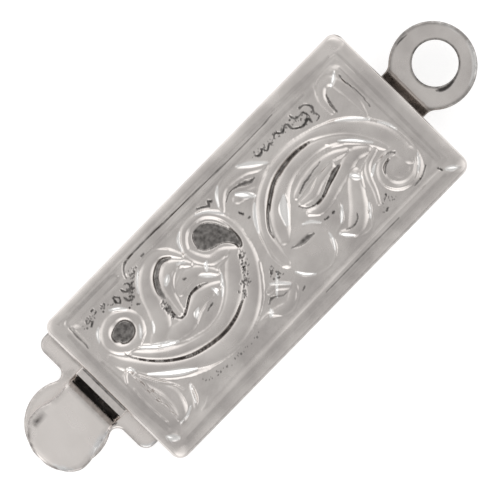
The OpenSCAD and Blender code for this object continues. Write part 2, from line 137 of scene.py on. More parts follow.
# Raised bands: x, y, half width, rise above the ground.
bands = {
    "mouthScroll": [
        (1.0, 2.75, 0.2, 0.18), (1.15, 3.2, 0.28, 0.26), (1.7, 4.05, 0.36, 0.34), (2.35, 4.75, 0.4, 0.36),
        (3.2, 5.28, 0.43, 0.37), (4.2, 5.56, 0.42, 0.37), (5.0, 5.58, 0.41, 0.37), (5.8, 5.4, 0.42, 0.37),
        (6.5, 4.98, 0.42, 0.36), (7.1, 4.4, 0.4, 0.35), (7.55, 3.75, 0.34, 0.33), (7.88, 3.0, 0.2, 0.32),
        (7.93, 2.4, 0.17, 0.31), (7.78, 1.85, 0.18, 0.3), (7.42, 1.42, 0.2, 0.3), (6.95, 1.28, 0.2, 0.29),
        (6.5, 1.33, 0.2, 0.28), (6.15, 1.6, 0.2, 0.27), (5.95, 1.95, 0.17, 0.25),
    ],
    "mouthInnerBand": [
        (1.72, 3.25, 0.17, 0.24), (2.1, 3.72, 0.22, 0.28), (2.7, 4.25, 0.27, 0.3), (3.4, 4.6, 0.29, 0.31),
        (4.2, 4.82, 0.29, 0.31), (5.0, 4.84, 0.31, 0.31), (5.8, 4.55, 0.37, 0.32),
        (6.4, 4.12, 0.42, 0.32), (6.85, 3.68, 0.42, 0.3), (7.1, 3.35, 0.3, 0.26),
    ],
    "mouthPetal": [
        (2.7, 3.55, 0.3, 0.18), (3.25, 3.3, 0.42, 0.27), (3.55, 2.7, 0.4, 0.3), (3.75, 2.1, 0.37, 0.32),
        (4.05, 1.65, 0.34, 0.33), (4.5, 1.32, 0.3, 0.33), (5.0, 1.23, 0.27, 0.31),
        (5.42, 1.5, 0.22, 0.28), (5.68, 1.92, 0.15, 0.24),
    ],
    "mouthUpperLobe": [
        (4.2, 3.45, 0.14, 0.2), (4.35, 2.8, 0.2, 0.24), (4.6, 2.25, 0.3, 0.28), (5.05, 1.95, 0.3, 0.28),
        (5.45, 2.1, 0.2, 0.24), (5.7, 2.4, 0.14, 0.22),
    ],
    "mouthFoldLeaf": [
        (4.75, 2.85, 0.3, 0.18), (5.2, 2.7, 0.35, 0.2), (5.7, 2.75, 0.25, 0.22), (6.05, 3.1, 0.2, 0.24),
        (6.2, 3.35, 0.14, 0.24),
    ],
    "mouthLowerLobe": [
        (3.35, 3.85, 0.38, 0.24), (4.0, 3.95, 0.36, 0.27), (4.6, 3.75, 0.36, 0.3), (5.1, 3.6, 0.34, 0.3),
        (5.6, 3.65, 0.26, 0.28), (5.95, 3.75, 0.16, 0.26),
    ],
    "bigEyeRim": [
        (5.95, 1.95, 0.17, 0.25), (6.05, 2.4, 0.22, 0.26), (6.35, 2.85, 0.25, 0.27),
        (6.9, 3.0, 0.25, 0.27), (7.3, 3.3, 0.2, 0.25),
    ],
    "cornerLeafEdge": [
        (0.9, 3.7, 0.2, 0.18), (0.8, 4.7, 0.3, 0.252), (0.85, 5.8, 0.3, 0.216), (1.0, 6.3, 0.2, 0.108),
    ],
    "cornerLeaf": [
        (1.2, 3.85, 0.14, 0.266), (1.45, 4.6, 0.25, 0.342), (1.65, 5.3, 0.32, 0.38),
        (1.55, 5.95, 0.3, 0.342), (1.25, 6.35, 0.2, 0.19),
    ],
    "cornerCrescent": [(2.4, 5.7, 0.1, 0.192), (2.2, 6.1, 0.13, 0.224), (1.95, 6.4, 0.1, 0.16)],
    "lowLeaf": [
        (5.9, 6.05, 0.15, 0.12), (6.4, 5.95, 0.2, 0.16), (6.85, 6.1, 0.24, 0.2), (7.3, 6.2, 0.24, 0.2),
        (7.75, 5.95, 0.2, 0.18), (8.0, 5.75, 0.12, 0.12),
    ],
    "lowLeafTip": [(7.05, 5.3, 0.14, 0.16), (7.4, 5.35, 0.2, 0.2), (7.8, 5.7, 0.18, 0.18)],
    "ringScroll": [
        (8.35, 5.0, 0.26, 0.3), (8.38, 4.4, 0.28, 0.33), (8.52, 3.8, 0.27, 0.35), (8.9, 3.2, 0.27, 0.36),
        (9.45, 2.62, 0.26, 0.36), (10.15, 2.24, 0.24, 0.36), (10.85, 2.07, 0.23, 0.35),
        (11.6, 2.05, 0.22, 0.35), (12.3, 2.2, 0.24, 0.35), (12.95, 2.5, 0.34, 0.36),
        (13.55, 2.9, 0.42, 0.37), (14.05, 3.5, 0.46, 0.37), (14.4, 4.2, 0.45, 0.37),
        (14.55, 4.9, 0.4, 0.36), (14.5, 5.5, 0.34, 0.33),
    ],
    "ringInnerBand": [
        (8.95, 4.35, 0.3, 0.28), (9.3, 3.75, 0.4, 0.33), (9.75, 3.3, 0.42, 0.34), (10.3, 2.9, 0.34, 0.34),
        (11.0, 2.66, 0.3, 0.33), (11.8, 2.62, 0.3, 0.32), (12.5, 2.75, 0.28, 0.3), (13.1, 3.1, 0.25, 0.3),
        (13.6, 3.6, 0.22, 0.3), (13.95, 4.2, 0.18, 0.27), (14.15, 4.65, 0.12, 0.24),
    ],
    "ringUpperLobe": [
        (10.4, 3.5, 0.15, 0.2), (11.0, 3.35, 0.22, 0.26), (11.7, 3.3, 0.25, 0.28),
        (12.4, 3.4, 0.24, 0.28), (13.0, 3.65, 0.16, 0.24),
    ],
    "ringMiddleLobe": [
        (10.35, 3.85, 0.12, 0.2), (10.9, 3.9, 0.2, 0.24), (11.5, 3.72, 0.2, 0.26),
        (12.2, 3.62, 0.16, 0.24),
    ],
    "ringLowerLobe": [
        (10.3, 4.3, 0.14, 0.2), (10.7, 4.5, 0.2, 0.24), (11.3, 4.45, 0.22, 0.26),
        (11.9, 4.25, 0.28, 0.28), (12.5, 4.1, 0.3, 0.3), (13.1, 3.95, 0.3, 0.3), (13.6, 4.15, 0.22, 0.28),
    ],
    "trunkLeaf": [
        (12.6, 4.5, 0.3, 0.3), (12.2, 5.0, 0.36, 0.32), (11.8, 5.5, 0.4, 0.33), (11.4, 5.85, 0.4, 0.32),
        (11.0, 6.0, 0.28, 0.26), (10.65, 5.75, 0.15, 0.2),
    ],
    "stem": [
        (13.8, 4.4, 0.12, 0.2), (13.2, 4.6, 0.14, 0.22), (12.9, 5.0, 0.14, 0.22), (12.7, 5.5, 0.12, 0.2),
        (12.45, 5.95, 0.1, 0.16),
    ],
    "topLeaf": [
        (8.05, 1.85, 0.12, 0.16), (8.35, 1.45, 0.2, 0.22), (8.75, 1.2, 0.24, 0.26),
        (9.25, 1.2, 0.28, 0.28), (9.75, 1.35, 0.26, 0.26), (10.2, 1.65, 0.2, 0.22),
        (10.55, 1.78, 0.1, 0.16),
    ],
    "topLeafFold": [(8.75, 1.95, 0.22, 0.2), (9.2, 2.1, 0.2, 0.18), (9.5, 2.15, 0.12, 0.14)],
    "endLeaf": [
        (13.7, 2.2, 0.14, 0.16), (13.75, 1.6, 0.2, 0.22), (14.1, 1.2, 0.25, 0.25),
        (14.5, 1.3, 0.25, 0.25), (14.65, 1.9, 0.25, 0.24), (14.65, 2.6, 0.2, 0.2),
        (14.55, 3.2, 0.1, 0.14),
    ],
}

# Rings and round bosses: x, y, radius across, radius down, half width, rise.
curlRings = {
    "smallEyeRing": (2.05, 2.38, 0.7, 0.64, 0.24, 0.27),
    "smallVoluteRing": (14.0, 5.55, 0.76, 0.68, 0.2, 0.28),
}
bosses = {
    "bigVolute": (9.28, 5.2, 1.08, 1.02, 0.32),
    "smallVolute": (14.0, 5.6, 0.48, 0.42, 0.22),
}

# Sunk eyes with dark bottoms, as closed outlines.
eyes = {
    "smallEye": [
        (1.56, 2.42), (1.62, 2.2), (1.85, 2.05), (2.15, 2.0), (2.4, 2.1), (2.52, 2.35), (2.45, 2.62),
        (2.25, 2.76), (1.95, 2.8), (1.75, 2.7), (1.68, 2.55),
    ],
    "bigEye": [
        (6.33, 2.2), (6.42, 1.85), (6.62, 1.64), (6.95, 1.6), (7.25, 1.68), (7.5, 1.95), (7.66, 2.3),
        (7.78, 2.7), (7.78, 3.05), (7.66, 3.3), (7.52, 3.3), (7.45, 3.08), (7.3, 2.85), (7.05, 2.68),
        (6.7, 2.58), (6.45, 2.42),
    ],
}

# Dark cuts: x, y, half width, depth.
grooves = {
    "mouthGroove": [
        (1.5, 2.98, 0.02, 0.033), (1.6, 3.3, 0.034, 0.052), (2.0, 3.9, 0.041, 0.066),
        (2.5, 4.4, 0.048, 0.079), (3.2, 4.87, 0.054, 0.092), (4.0, 5.1, 0.061, 0.098),
        (4.8, 5.18, 0.061, 0.098), (5.5, 5.07, 0.054, 0.085), (6.15, 4.8, 0.041, 0.052),
    ],
    "petalGroove": [
        (4.1, 2.6, 0.074, 0.064), (4.15, 2.25, 0.123, 0.096), (4.4, 1.84, 0.123, 0.112),
        (4.8, 1.58, 0.11, 0.112), (5.1, 1.54, 0.11, 0.104), (5.35, 1.68, 0.062, 0.064),
    ],
    "lobeGroove": [
        (4.0, 2.95, 0.05, 0.06), (3.88, 3.3, 0.08, 0.1), (3.95, 3.55, 0.06, 0.1), (4.15, 3.62, 0.05, 0.1),
        (4.4, 3.5, 0.05, 0.1), (4.8, 3.25, 0.05, 0.12), (5.15, 3.2, 0.06, 0.12), (5.45, 3.27, 0.06, 0.1),
        (5.66, 3.37, 0.03, 0.06),
    ],
    "ringGroove": [
        (8.7, 3.95, 0.05, 0.051), (8.8, 3.6, 0.058, 0.077), (9.2, 3.15, 0.065, 0.09),
        (9.7, 2.8, 0.065, 0.09), (10.2, 2.5, 0.065, 0.09), (10.8, 2.34, 0.065, 0.09),
        (11.5, 2.28, 0.058, 0.083), (12.1, 2.35, 0.043, 0.064), (12.4, 2.42, 0.022, 0.032),
    ],
    "centreLeafGroove": [
        (10.22, 3.82, 0.025, 0.048), (10.4, 4.1, 0.043, 0.08), (10.8, 4.25, 0.051, 0.096),
        (11.2, 4.2, 0.06, 0.104), (11.6, 4.05, 0.085, 0.112), (12.0, 3.93, 0.111, 0.112),
        (12.42, 3.82, 0.068, 0.08),
    ],
    "voluteEye": [
        (8.88, 4.75, 0.03, 0.05), (9.15, 4.86, 0.09, 0.12), (9.45, 4.9, 0.13, 0.14),
        (9.7, 4.92, 0.11, 0.12), (9.88, 4.97, 0.04, 0.05),
    ],
    "smallVoluteEye": [(13.45, 5.3, 0.04, 0.06), (13.6, 5.12, 0.08, 0.1), (13.92, 5.02, 0.05, 0.06)],
    "smallVoluteHook": [(14.0, 4.82, 0.03, 0.05), (14.18, 4.9, 0.04, 0.06), (14.28, 5.0, 0.06, 0.08)],
    "smallVoluteCrescent": [(13.9, 6.45), (14.35, 6.4, 0.04, 0.06), (14.75, 6.2, 0.04, 0.05)],
    "topLeafLens": [
        (8.4, 1.7, 0.02, 0.04), (8.75, 1.55, 0.03, 0.06), (9.1, 1.6, 0.06, 0.1), (9.4, 1.73, 0.13, 0.12),
        (9.62, 1.82, 0.1, 0.1), (9.8, 1.84, 0.03, 0.05),
    ],
    "endLeafGroove": [(13.83, 2.32, 0.05, 0.05), (13.88, 1.95, 0.07, 0.08), (14.0, 1.58, 0.04, 0.05)],
    "endLeafLine": [
        (14.9, 1.4), (14.87, 1.7, 0.03, 0.05), (14.95, 2.4, 0.025, 0.04), (14.88, 3.1, 0.025, 0.04),
    ],
    "lowLeafLens": [
        (6.75, 5.64, 0.05, 0.06), (6.95, 5.55, 0.08, 0.08), (7.15, 5.63, 0.05, 0.06),
        (7.35, 5.78, 0.025, 0.04), (7.6, 5.82, 0.02, 0.03),
    ],
    "trunkCut": [
        (10.85, 5.76), (11.15, 5.86, 0.04, 0.06), (11.45, 5.78, 0.04, 0.06), (11.6, 5.6, 0.025, 0.04),
    ],
    "foldCutHigh": [
        (10.6, 3.5), (11.0, 3.36, 0.045, 0.06), (11.3, 3.32, 0.045, 0.06), (11.6, 3.26, 0.025, 0.04),
        (12.0, 3.22, 0.02, 0.03),
    ],
    "frameLine": [
        (3.62, 1.0, 0.05, 0.05), (3.72, 0.78, 0.06, 0.08), (3.95, 0.6, 0.06, 0.09),
        (4.4, 0.53, 0.045, 0.08), (5.2, 0.52, 0.045, 0.08), (6.4, 0.57, 0.04, 0.07),
        (7.8, 0.6, 0.035, 0.06), (9.0, 0.64, 0.03, 0.05), (10.2, 0.67, 0.03, 0.05), (11.2, 0.66),
        (12.0, 0.63, 0.02, 0.02),
    ],
    "mouthEndLine": [
        (0.72, 0.8, 0.025, 0.03), (0.7, 1.2, 0.045, 0.05), (0.7, 1.6, 0.035, 0.04),
        (0.68, 1.85, 0.02, 0.02),
    ],
    "lowFrameLine": [(8.6, 6.87, 0.02, 0.02), (10.0, 6.87), (11.6, 6.87), (12.6, 6.87, 0.02, 0.02)],
}
fillIn(grooves, 0.03, 0.04)

# Loose dark marks on the stippled ground: x, y, half width, depth.
groundMarks = {
    "mouthDot": [(1.36, 1.36), (1.5, 1.27, 0.07, 0.07)],
    "mouthLoopA": [
        (2.7, 1.2), (2.68, 1.4, 0.06, 0.06), (2.78, 1.52, 0.05, 0.06), (2.88, 1.35, 0.04, 0.05),
        (2.78, 1.2),
    ],
    "mouthLoopB": [
        (3.15, 1.2), (3.22, 1.38, 0.07, 0.06), (3.4, 1.42, 0.06, 0.06), (3.52, 1.22),
        (3.38, 1.12, 0.03, 0.04),
    ],
    "mouthHook": [(3.02, 1.5, 0.04, 0.05), (3.06, 1.68, 0.07, 0.06), (3.2, 1.74, 0.03, 0.04)],
    "mouthTick": [(3.2, 2.02), (3.27, 2.1, 0.03, 0.04)],
    "petalTick": [(3.88, 1.06, 0.05, 0.04), (3.96, 1.1, 0.04, 0.04)],
    "topTick": [(4.6, 0.84, 0.03, 0.03), (4.75, 0.84, 0.03, 0.03)],
    "middleWorm": [
        (7.4, 1.1, 0.03, 0.04), (7.6, 1.2, 0.04, 0.05), (7.8, 1.35, 0.07, 0.07), (7.9, 1.2, 0.06, 0.06),
        (8.0, 1.28, 0.08, 0.06),
    ],
    "underLeafDotA": [(8.45, 2.36), (8.5, 2.5, 0.07, 0.07)],
    "underLeafDotB": [(8.55, 2.76), (8.62, 2.76, 0.04, 0.04)],
    "longWormA": [
        (10.42, 1.24, 0.03, 0.04), (10.55, 1.38, 0.08, 0.07), (10.72, 1.34, 0.06, 0.06),
        (10.78, 1.24, 0.04, 0.05), (10.9, 1.46, 0.05, 0.06), (11.12, 1.34, 0.05, 0.06),
        (11.26, 1.4, 0.03, 0.04),
    ],
    "longWormB": [
        (11.42, 1.3, 0.03, 0.04), (11.58, 1.22, 0.05, 0.06), (11.8, 1.4, 0.06, 0.06),
        (12.0, 1.28, 0.06, 0.06), (12.16, 1.3, 0.05, 0.06), (12.18, 1.55, 0.06, 0.07),
        (12.42, 1.74, 0.06, 0.07), (12.62, 1.78, 0.06, 0.06), (12.86, 1.72, 0.08, 0.07),
        (12.88, 1.9, 0.06, 0.06),
    ],
    "longWormC": [
        (12.45, 1.14, 0.05, 0.06), (12.52, 1.36, 0.06, 0.06), (12.72, 1.4, 0.04, 0.05),
        (12.9, 1.42, 0.05, 0.06), (12.98, 1.66, 0.03, 0.04),
    ],
    "longWormD": [
        (12.92, 1.2, 0.06, 0.06), (13.15, 1.26, 0.05, 0.06), (13.3, 1.5, 0.06, 0.06), (13.2, 1.72),
        (13.25, 1.95, 0.03, 0.04), (13.05, 2.02, 0.03, 0.04),
    ],
    "underScrollMark": [(7.6, 4.9, 0.03, 0.04), (7.68, 4.8, 0.06, 0.06), (7.74, 4.74, 0.03, 0.04)],
    "underScrollDot": [(7.7, 5.18), (7.75, 5.2, 0.04, 0.04)],
    "lobeDashA": [(10.55, 4.9, 0.04, 0.05), (10.72, 4.93, 0.04, 0.05)],
    "lobeDashB": [(10.95, 4.94, 0.06, 0.07), (11.02, 4.93, 0.06, 0.06)],
    "lowDot": [(12.46, 6.36), (12.56, 6.32)],
    "lowMark": [(8.02, 6.2, 0.03, 0.04), (8.18, 6.14, 0.04, 0.05)],
    "foldDot": [(5.12, 2.63), (5.2, 2.66, 0.04, 0.04)],
    "lowerLobeDash": [(4.9, 4.13, 0.02, 0.03), (5.25, 4.06, 0.04, 0.04)],
    "cornerTipMark": [(15.0, 6.62, 0.04, 0.05), (15.06, 6.78, 0.05, 0.06)],
}
fillIn(groundMarks, 0.05, 0.05)

# Fine raised lines that catch the light: x, y, half width, rise.
beads = {
    "mouthInnerEdge": [
        (1.65, 3.05, 0.05, 0.05), (2.12, 3.22, 0.07, 0.08), (2.5, 3.62, 0.12, 0.12),
        (3.0, 3.98, 0.1, 0.1), (3.35, 4.27, 0.05, 0.06), (3.8, 4.45, 0.05, 0.06), (4.5, 4.6, 0.05, 0.06),
        (5.2, 4.48, 0.05, 0.06), (5.8, 4.13, 0.05, 0.06), (6.15, 3.75, 0.06, 0.07),
        (6.35, 3.3, 0.05, 0.06), (6.75, 3.24, 0.05, 0.05), (7.1, 3.12, 0.04, 0.04),
    ],
    "mouthOuterEdge": [
        (3.1, 5.4), (3.6, 5.7, 0.05, 0.06), (4.3, 5.93, 0.05, 0.05), (5.2, 5.97), (6.0, 5.75),
        (6.7, 5.35, 0.05, 0.06), (7.25, 4.8, 0.06, 0.07), (7.65, 4.25, 0.05, 0.06),
    ],
    "mouthBackEdge": [
        (8.05, 3.4), (8.1, 2.7), (8.08, 2.1, 0.05, 0.06), (7.9, 1.75, 0.07, 0.08),
        (7.55, 1.4, 0.06, 0.08), (7.2, 1.2, 0.05, 0.06),
    ],
    "petalEdge": [
        (3.5, 1.75, 0.05, 0.06), (3.75, 1.45, 0.06, 0.07), (4.1, 1.15, 0.05, 0.06), (4.6, 1.0),
        (5.1, 1.02), (5.5, 1.4),
    ],
    "upperLobeEdge": [(4.55, 2.75), (4.8, 2.38), (5.25, 2.15, 0.04, 0.06), (5.55, 2.12, 0.06, 0.07)],
    "foldLineA": [(4.7, 2.6, 0.03, 0.03), (5.1, 2.42, 0.03, 0.04), (5.55, 2.3, 0.03, 0.03)],
    "foldLineB": [(4.6, 2.98, 0.03, 0.03), (5.2, 2.9, 0.03, 0.04), (5.7, 2.95, 0.03, 0.03)],
    "lowerLobeEdge": [(4.25, 4.2), (4.6, 3.95, 0.05, 0.06), (5.1, 3.88), (5.5, 3.88)],
    "curlDash": [(2.12, 3.22, 0.05, 0.05), (2.4, 3.1), (2.7, 3.0, 0.03, 0.04)],
    "cornerVeinA": [
        (1.2, 4.2, 0.06, 0.1), (1.15, 5.0, 0.072, 0.14), (1.2, 5.6, 0.048, 0.1), (1.12, 6.25, 0.06, 0.12),
    ],
    "cornerVeinB": [
        (1.3, 4.0, 0.048, 0.1), (1.6, 4.6, 0.06, 0.12), (2.0, 5.2, 0.048, 0.1), (2.12, 5.6, 0.036, 0.08),
    ],
    "cornerVeinC": [(0.78, 4.2, 0.036, 0.08), (0.72, 5.0, 0.048, 0.08), (0.78, 6.0, 0.036, 0.08)],
    "cornerCurl": [
        (0.75, 3.85, 0.06, 0.1), (0.95, 3.6, 0.06, 0.12), (1.2, 3.55, 0.084, 0.16),
        (1.25, 3.8, 0.06, 0.12),
    ],
    "cornerFoot": [(1.1, 6.45, 0.048, 0.08), (1.45, 6.4, 0.06, 0.1), (1.8, 6.25, 0.048, 0.08)],
    "crescentEdge": [(2.35, 5.85, 0.06, 0.12), (2.2, 6.15, 0.06, 0.12), (2.1, 6.3, 0.036, 0.08)],
    "crescentTail": [(2.05, 6.65, 0.05, 0.05), (2.3, 6.6), (2.55, 6.45, 0.03, 0.04)],
    "lowLeafEdge": [
        (6.0, 5.85), (6.45, 5.9, 0.07, 0.08), (6.65, 6.1, 0.06, 0.06), (6.9, 6.4), (7.3, 6.45),
        (7.75, 6.25), (8.0, 5.9),
    ],
    "ringOuterEdge": [
        (8.12, 5.0, 0.05, 0.05), (8.1, 4.45, 0.06, 0.06), (8.28, 3.85), (8.5, 3.3, 0.08, 0.09),
        (8.9, 2.75, 0.09, 0.1), (9.3, 2.4, 0.05, 0.06), (10.0, 2.02, 0.03, 0.04),
        (10.8, 1.84, 0.03, 0.04), (11.6, 1.84), (12.4, 2.02), (13.1, 2.3), (13.65, 2.62, 0.08, 0.09),
        (14.3, 3.2, 0.09, 0.1), (14.6, 3.55, 0.05, 0.06), (14.85, 4.05, 0.08, 0.09),
        (15.0, 4.5, 0.05, 0.06), (15.02, 5.2, 0.05, 0.06), (14.85, 5.75, 0.05, 0.06),
    ],
    "ringInnerEdge": [
        (10.12, 3.55), (10.5, 3.2), (11.0, 3.0), (11.8, 2.95), (12.5, 3.05), (13.1, 3.35, 0.05, 0.06),
    ],
    "innerBandSpine": [(10.05, 3.4), (10.15, 3.1)],
    "volutePin": [(12.66, 2.88, 0.05, 0.05), (12.72, 2.94, 0.05, 0.05)],
    "voluteEdgeB": [
        (8.9, 6.2, 0.03, 0.04), (9.3, 6.3), (9.7, 6.25), (10.05, 6.0, 0.06, 0.07),
        (10.25, 5.65, 0.07, 0.08), (10.3, 5.2),
    ],
    "voluteEdgeC": [(9.8, 4.42, 0.06, 0.06), (10.1, 4.6, 0.05, 0.06), (10.32, 4.9, 0.06, 0.06)],
    "middleLobeEdge": [
        (10.3, 3.75, 0.03, 0.04), (11.0, 3.77), (11.5, 3.55), (12.0, 3.46), (12.5, 3.5),
        (13.0, 3.66, 0.03, 0.04),
    ],
    "lowerLobeLeft": [(10.2, 4.1), (10.38, 4.42, 0.05, 0.06), (10.65, 4.64), (11.4, 4.66, 0.04, 0.04)],
    "trunkLeftEdge": [(11.45, 4.72), (11.25, 5.12, 0.07, 0.08), (11.0, 5.42, 0.05, 0.06), (10.55, 5.55)],
    "trunkFoot": [
        (11.0, 6.3), (11.35, 6.42, 0.05, 0.06), (11.7, 6.35), (12.0, 5.98, 0.05, 0.06),
        (12.2, 5.72, 0.07, 0.07),
    ],
    "stemEdge": [
        (13.8, 4.33, 0.03, 0.04), (13.2, 4.45), (12.8, 4.65, 0.04, 0.06), (12.55, 5.0),
        (12.5, 5.3, 0.03, 0.04),
    ],
    "smallVoluteEdge": [
        (13.15, 4.95, 0.06, 0.07), (13.5, 4.8, 0.04, 0.06), (13.9, 4.8), (14.15, 4.92, 0.03, 0.04),
    ],
    "smallVoluteFoot": [
        (13.1, 5.6, 0.05, 0.06), (13.35, 6.0, 0.05, 0.06), (13.8, 6.26, 0.05, 0.06),
        (14.2, 6.22, 0.05, 0.06), (14.55, 5.95, 0.05, 0.06), (14.75, 5.7),
    ],
    "topLeafEdge": [
        (8.1, 1.65, 0.05, 0.06), (8.35, 1.25, 0.08, 0.08), (8.6, 1.08, 0.05, 0.06),
        (9.1, 0.97, 0.03, 0.04), (9.6, 1.0, 0.03, 0.04),
    ],
    "topLeafTail": [(10.6, 1.85), (10.4, 1.98, 0.05, 0.06), (10.1, 2.0, 0.03, 0.04)],
    "endLeafEdge": [
        (13.75, 1.3), (13.95, 1.02, 0.05, 0.06), (14.3, 0.88), (15.1, 0.85, 0.04, 0.04), (15.33, 0.95),
        (15.38, 1.9, 0.03, 0.04),
    ],
    "endLeafTip": [(14.42, 3.05), (14.52, 3.35, 0.06, 0.07), (14.55, 3.48)],
    "highFrameLine": [
        (5.2, 0.88, 0.03, 0.03), (6.5, 0.8, 0.04, 0.04), (8.0, 0.79, 0.05, 0.05), (9.4, 0.8, 0.05, 0.05),
        (11.0, 0.76, 0.04, 0.04), (12.5, 0.76, 0.04, 0.04), (13.4, 0.84, 0.03, 0.03),
    ],
    "lowFrameRidge": [
        (5.3, 6.83, 0.03, 0.03), (6.5, 6.8), (8.0, 6.78, 0.05, 0.05), (10.0, 6.74, 0.05, 0.06),
        (12.0, 6.7, 0.05, 0.06), (14.0, 6.72), (15.0, 6.75, 0.03, 0.03),
    ],
    "frameHookRidge": [(3.4, 0.66, 0.05, 0.05), (3.5, 0.72, 0.06, 0.06)],
    "softPadEdge": [
        (0.9, 0.56, 0.04, 0.03), (2.0, 0.52, 0.04, 0.03), (3.0, 0.52, 0.04, 0.03),
        (3.3, 0.62, 0.04, 0.03),
    ],
    "softPadFoot": [(2.6, 0.86, 0.03, 0.03), (3.0, 0.88, 0.04, 0.04), (3.4, 0.86, 0.03, 0.03)],
    "mouthEndRidge": [(0.78, 0.9, 0.03, 0.04), (0.79, 1.4, 0.03, 0.04), (0.72, 2.0, 0.02, 0.02)],
}
fillIn(beads, 0.04, 0.05)


